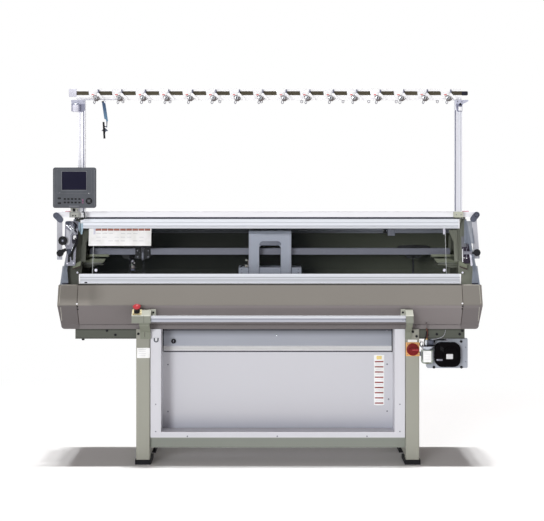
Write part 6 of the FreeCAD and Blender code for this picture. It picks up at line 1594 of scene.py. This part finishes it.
class KNITTING_OT_air_unit(bpy.types.Operator):
    """Filter regulator: fittings, dome, clear bowl with its guard, gauge and label"""
    bl_idname = "knitting.air_unit"
    bl_label = "Air Unit"

    def execute(self, context):
        piece = Piece("air_unit", "machine", "regulator", ["air_regulator"])
        x, y = 866, 100
        piece.raised("bowl", upright(x, y, 553), rounded(66, 52, 14),
            [(10, 4), (3, 8), (0, 14), (0, 72), (1, 77)])
        piece.turned("olive_cast", upright(x, y, 553.2), [(7, 0), (9, 1.5), (24, 3.5), (26, 8), (26, 11)], 32)
        for side in (-1, 1):
            piece.slab("edge_plastic", (x + side * 28, y - 26.4, 602), 6, 44, 1.2, 2.5, 0.4)
            piece.slab("white_plastic", (x + side * 23.5, y - 26.6, 600), 1.6, 50, 1, 0.8, 0.3)
        piece.turned("head_light", upright(x - 2, y - 4, 629.5), [(9, 0), (18, 3), (27, 9), (33, 17),
            (33.6, 21), (31, 22.5), (12, 23.5)], 40)
        piece.turned("navy_plastic", upright(x - 2, y, 651.5), [(22, 0), (27, 1.5), (27, 5), (24, 6.5),
            (7, 7)], 36)
        piece.turned("head_light", upright(x - 6, y - 8, 657), [(4.8, 0), (4.8, 30), (4, 31.5)], 20)
        piece.turned("brass", upright(x - 4, y, 686), [(7.6, 0), (8.2, 1), (8.2, 6), (6.5, 8)], 6)
        piece.slab("plate_white", (x - 2, 74.4, 597), 43, 62, 1, 3, 0.3)
        for number in range(5):
            piece.slab("plate_print", (x - 2, 73.5, 616 - 9 * number), 33, 2.4, 0.2, 0.8, 0.1)
        piece.slab("slate_plastic", (x + 20, 106, 672), 32, 27, 10, 3, 1.5)
        piece.slab("cap_slate", (x + 18, 96.2, 672), 22, 15, 1, 2, 0.4)
        piece.slab("lens_black", (x + 8, 108, 655), 70, 6, 6, 2, 1)
        piece.run("steel", [(106, 597), (112, 597), (112, 621), (106, 621)], 823.3, x - 18, 1.5)
        piece.tube("wire_red", [(x - 1, 96, 694), (x - 3, 88, 708), (x + 1, 84, 724), (x + 2, 92, 744)], 1.6,
            8, 24)
        piece.tube("key_plastic", [(x - 14, 96, 656), (x - 17, 90, 672), (x - 13, 86, 694), (x - 6, 84, 716),
            (x - 3, 92, 744)], 3, 8, 30)
        loops = np.linspace(0, 1, 60)
        angle = loops * 2.2 * 2 * math.pi
        piece.tube("key_plastic", np.stack([832 + 8 * np.cos(angle) + 3 * loops, 88 + 5 * loops,
            664 + 13 * np.sin(angle)], axis=1), 2.2, 8)
        piece.tube("white_plastic", [(826, 96, 684), (838, 84, 672), (846, 84, 654), (843, 88, 640),
            (832, 96, 630)], 2.6, 8, 30)
        piece.build()
        return {"FINISHED"}


class KNITTING_OT_monitor_stand(bpy.types.Operator):
    """Black plate of painted shade in the recess, screws and cable hook of the monitor's neck"""
    bl_idname = "knitting.monitor_stand"
    bl_label = "Monitor Stand Details"

    def execute(self, context):
        piece = Piece("monitor_stand_details", "machine", "bracket_paint")
        # Black plate in the neck's recess: painted shade.
        piece.slab("key_plastic", (-1076, 65.6, 1402), 15, 17, 1.2, 1.5, 0.4)
        for x in (-1082, -1068):
            piece.screw("key_plastic", (x, 65.2, 1371), 3.4, 2.4)
        piece.border("edge_plastic", (-1073, 65.2, 1376), 46, 28, 1.6, 0.8, 3)
        piece.tube("key_plastic", [(-1034, 90.5, 1391), (-1026, 86, 1392), (-1021, 84, 1384),
            (-1020, 84, 1370), (-1022, 84, 1356), (-1034, 85, 1350), (-1050, 87, 1349)], 2.8, 10, 36)
        piece.tube("strip_coat", [(-1031, 60, 1415), (-1030, 74, 1408), (-1029, 86, 1398),
            (-1029, 89, 1380)], 1.2, 8, 24)
        piece.slab("white_plastic", (-1036, 90.2, 1374), 14, 24, 2, 2, 0.8)
        piece.build()
        return {"FINISHED"}


class KNITTING_OT_strap_details(bpy.types.Operator):
    """Rivet and clear link of the threading tool's strap"""
    bl_idname = "knitting.strap_details"
    bl_label = "Strap Details"

    def execute(self, context):
        piece = Piece("strap_details", "machine", "strap_blue")
        piece.plate("strap", (-917, 118.4, 1950), [(-12, 52), (0.5, 52), (14.5, -46), (7, -49), (2, -44)],
            1.6, 1.5, 0.4)
        piece.slab("navy_plastic", (-923, 116.6, 1999), 12, 7, 1.4, 2, 0.4)
        piece.tube("blue_clear", [(-900, 119, 1892), (-898.5, 119, 1880), (-901, 119, 1866),
            (-908, 119, 1860)], 0.9, 8, 20)
        piece.build()
        return {"FINISHED"}


# The stage: half the floor's side and where it turns white, the lamps' angles in degrees, the room's tint.
FLOOR_HALF, FLOOR_FADE = 60.0, (2.2, 4.0)
OVERHEAD_TILTS, OVERHEAD_SPREAD, OVERHEAD_LEAN = (-3.5, 0.0, 3.5), 2.6, 1.8
FRONT_SPREAD, FRONT_TURN, FRONT_COLOUR = 16.0, (82.0, 0.0, -20.0), (0.965, 0.985, 1.0)
ROOM_TINT = (1.0, 0.89, 0.87)
SENSOR = 36.0
# The picture's size in pixels, the size of one at the cover's ridge, and the point the view looks level at.
PHOTO_WIDE, PHOTO_HIGH, METRES_PER_PIXEL = 544, 521, 0.00545
VANISHING_X, VANISHING_Y = 270, 180


class KNITTING_OT_stage(bpy.types.Operator):
    """Pale floor, white surroundings, lamps and the camera"""
    bl_idname = "knitting.stage"
    bl_label = "Stage"

    def execute(self, context):
        settings = context.scene.knitting.stage
        self.floor()
        self.surroundings(context.scene, settings.ambient)
        for tilt in OVERHEAD_TILTS:
            overhead = bpy.data.lights.new("overhead", "SUN")
            overhead.energy, overhead.angle = settings.overhead / 3, math.radians(OVERHEAD_SPREAD)
            turn = math.radians(OVERHEAD_LEAN), math.radians(tilt), 0.0
            self.hang(context, overhead, (tilt / 10, 0.0, 4.0), turn)
        front = bpy.data.lights.new("front", "SUN")
        front.energy, front.angle, front.color = settings.front, math.radians(FRONT_SPREAD), FRONT_COLOUR
        self.hang(context, front, (-4.0, -8.0, 2.0), tuple(math.radians(turn) for turn in FRONT_TURN))
        lens = bpy.data.cameras.new("camera")
        lens.sensor_width, lens.lens = SENSOR, SENSOR * settings.distance / (PHOTO_WIDE * METRES_PER_PIXEL)
        lens.shift_x = (PHOTO_WIDE / 2 - VANISHING_X) / PHOTO_WIDE
        lens.shift_y = -(PHOTO_HIGH / 2 - VANISHING_Y) / PHOTO_WIDE
        lens.clip_end = 200.0
        place = SHIFT + np.array([0.0, -settings.distance, settings.height])
        context.scene.camera = self.hang(context, lens, place, (math.pi / 2, 0.0, 0.0))
        context.scene.view_settings.view_transform = "Standard"
        return {"FINISHED"}

    @staticmethod
    def hang(context, data, place, turn):
        """Links a lamp or the camera at a place."""
        held = bpy.data.objects.new(data.name, data)
        held.location, held.rotation_euler = place, turn
        context.scene.collection.objects.link(held)
        return held

    @staticmethod
    def floor():
        """Large floor: matt near the machine, where it takes the shadow, plain white far from it."""
        half = FLOOR_HALF
        mesh = bpy.data.meshes.new("floor")
        mesh.from_pydata([(-half, -half, 0), (half, -half, 0), (half, half, 0), (-half, half, 0)], [],
            [(0, 1, 2, 3)])
        look = Finish("floor")
        fine = look.noise(30.0, 3.0)
        look.surface(look.between(tone(243, 243, 243), tone(247, 247, 247), fine), 0.9)
        far = look.rise(look.add("ShaderNodeVectorMath", {"operation": "LENGTH"},
            {0: look.place()})["Value"], *FLOOR_FADE)
        white = look.add("ShaderNodeEmission", {}, {"Strength": 1.0}).node
        look.mix_shaders(far * look.seen(), look.shader, white)
        mesh.materials.append(look.material)
        shown = bpy.data.objects.new("floor", mesh)
        bpy.context.scene.collection.objects.link(shown)

    @staticmethod
    def surroundings(scene, ambient):
        """World: white where it is seen or mirrored, dimmer as light."""
        world = bpy.data.worlds.new("surroundings")
        world.use_nodes = True
        world.node_tree.nodes.clear()
        look = Finish.__new__(Finish)
        look.tree = world.node_tree
        look.output = look.add("ShaderNodeOutputWorld").node
        light = look.add("ShaderNodeBackground", {}, {"Color": ROOM_TINT, "Strength": ambient}).node
        white = look.add("ShaderNodeBackground", {}, {"Color": (1.0, 1.0, 1.0), "Strength": 1.0}).node
        look.mix_shaders(look.seen(), light, white)
        scene.world = world


OPERATORS = (KNITTING_OT_finishes, KNITTING_OT_monitor_face, KNITTING_OT_monitor_stand,
    KNITTING_OT_tension_units, KNITTING_OT_crossbeam_trim, KNITTING_OT_post_fittings,
    KNITTING_OT_strap_details, KNITTING_OT_table_marks, KNITTING_OT_window_details,
    KNITTING_OT_carriage_details, KNITTING_OT_feeder_details, KNITTING_OT_inner_fittings,
    KNITTING_OT_inner_ends, KNITTING_OT_side_tensions, KNITTING_OT_hull_details,
    KNITTING_OT_start_bar_details, KNITTING_OT_stand_details, KNITTING_OT_switch_details,
    KNITTING_OT_blower_details, KNITTING_OT_air_unit, KNITTING_OT_stage)


class KNITTING_PT_panel(bpy.types.Panel):
    """Lists the pieces and the settings in the sidebar"""
    bl_idname = "KNITTING_PT_panel"
    bl_label = "Flat Knitting Machine"
    bl_space_type = "VIEW_3D"
    bl_region_type = "UI"
    bl_category = "Knitting"

    def draw(self, context):
        look = context.scene.knitting
        for group in (look.covers, look.stand, look.metal, look.yarn, look.stage):
            box = self.layout.box()
            for name in group.__annotations__:
                box.prop(group, name)
        for operator in OPERATORS:
            self.layout.operator(operator.bl_idname)


CLASSES = (CoverSettings, StandSettings, MetalSettings, StandTopSettings, StageSettings, MachineSettings,
    *OPERATORS, KNITTING_PT_panel)


def register():
    for each in CLASSES:
        bpy.utils.register_class(each)
    bpy.types.Scene.knitting = PointerProperty(type=MachineSettings)


def unregister():
    del bpy.types.Scene.knitting
    for each in reversed(CLASSES):
        bpy.utils.unregister_class(each)


def main():
    """Registers the classes, then runs every operator in order."""
    register()
    for operator in OPERATORS:
        group, name = operator.bl_idname.split(".")
        getattr(getattr(bpy.ops, group), name)()


if __name__ == "__main__":
    main()
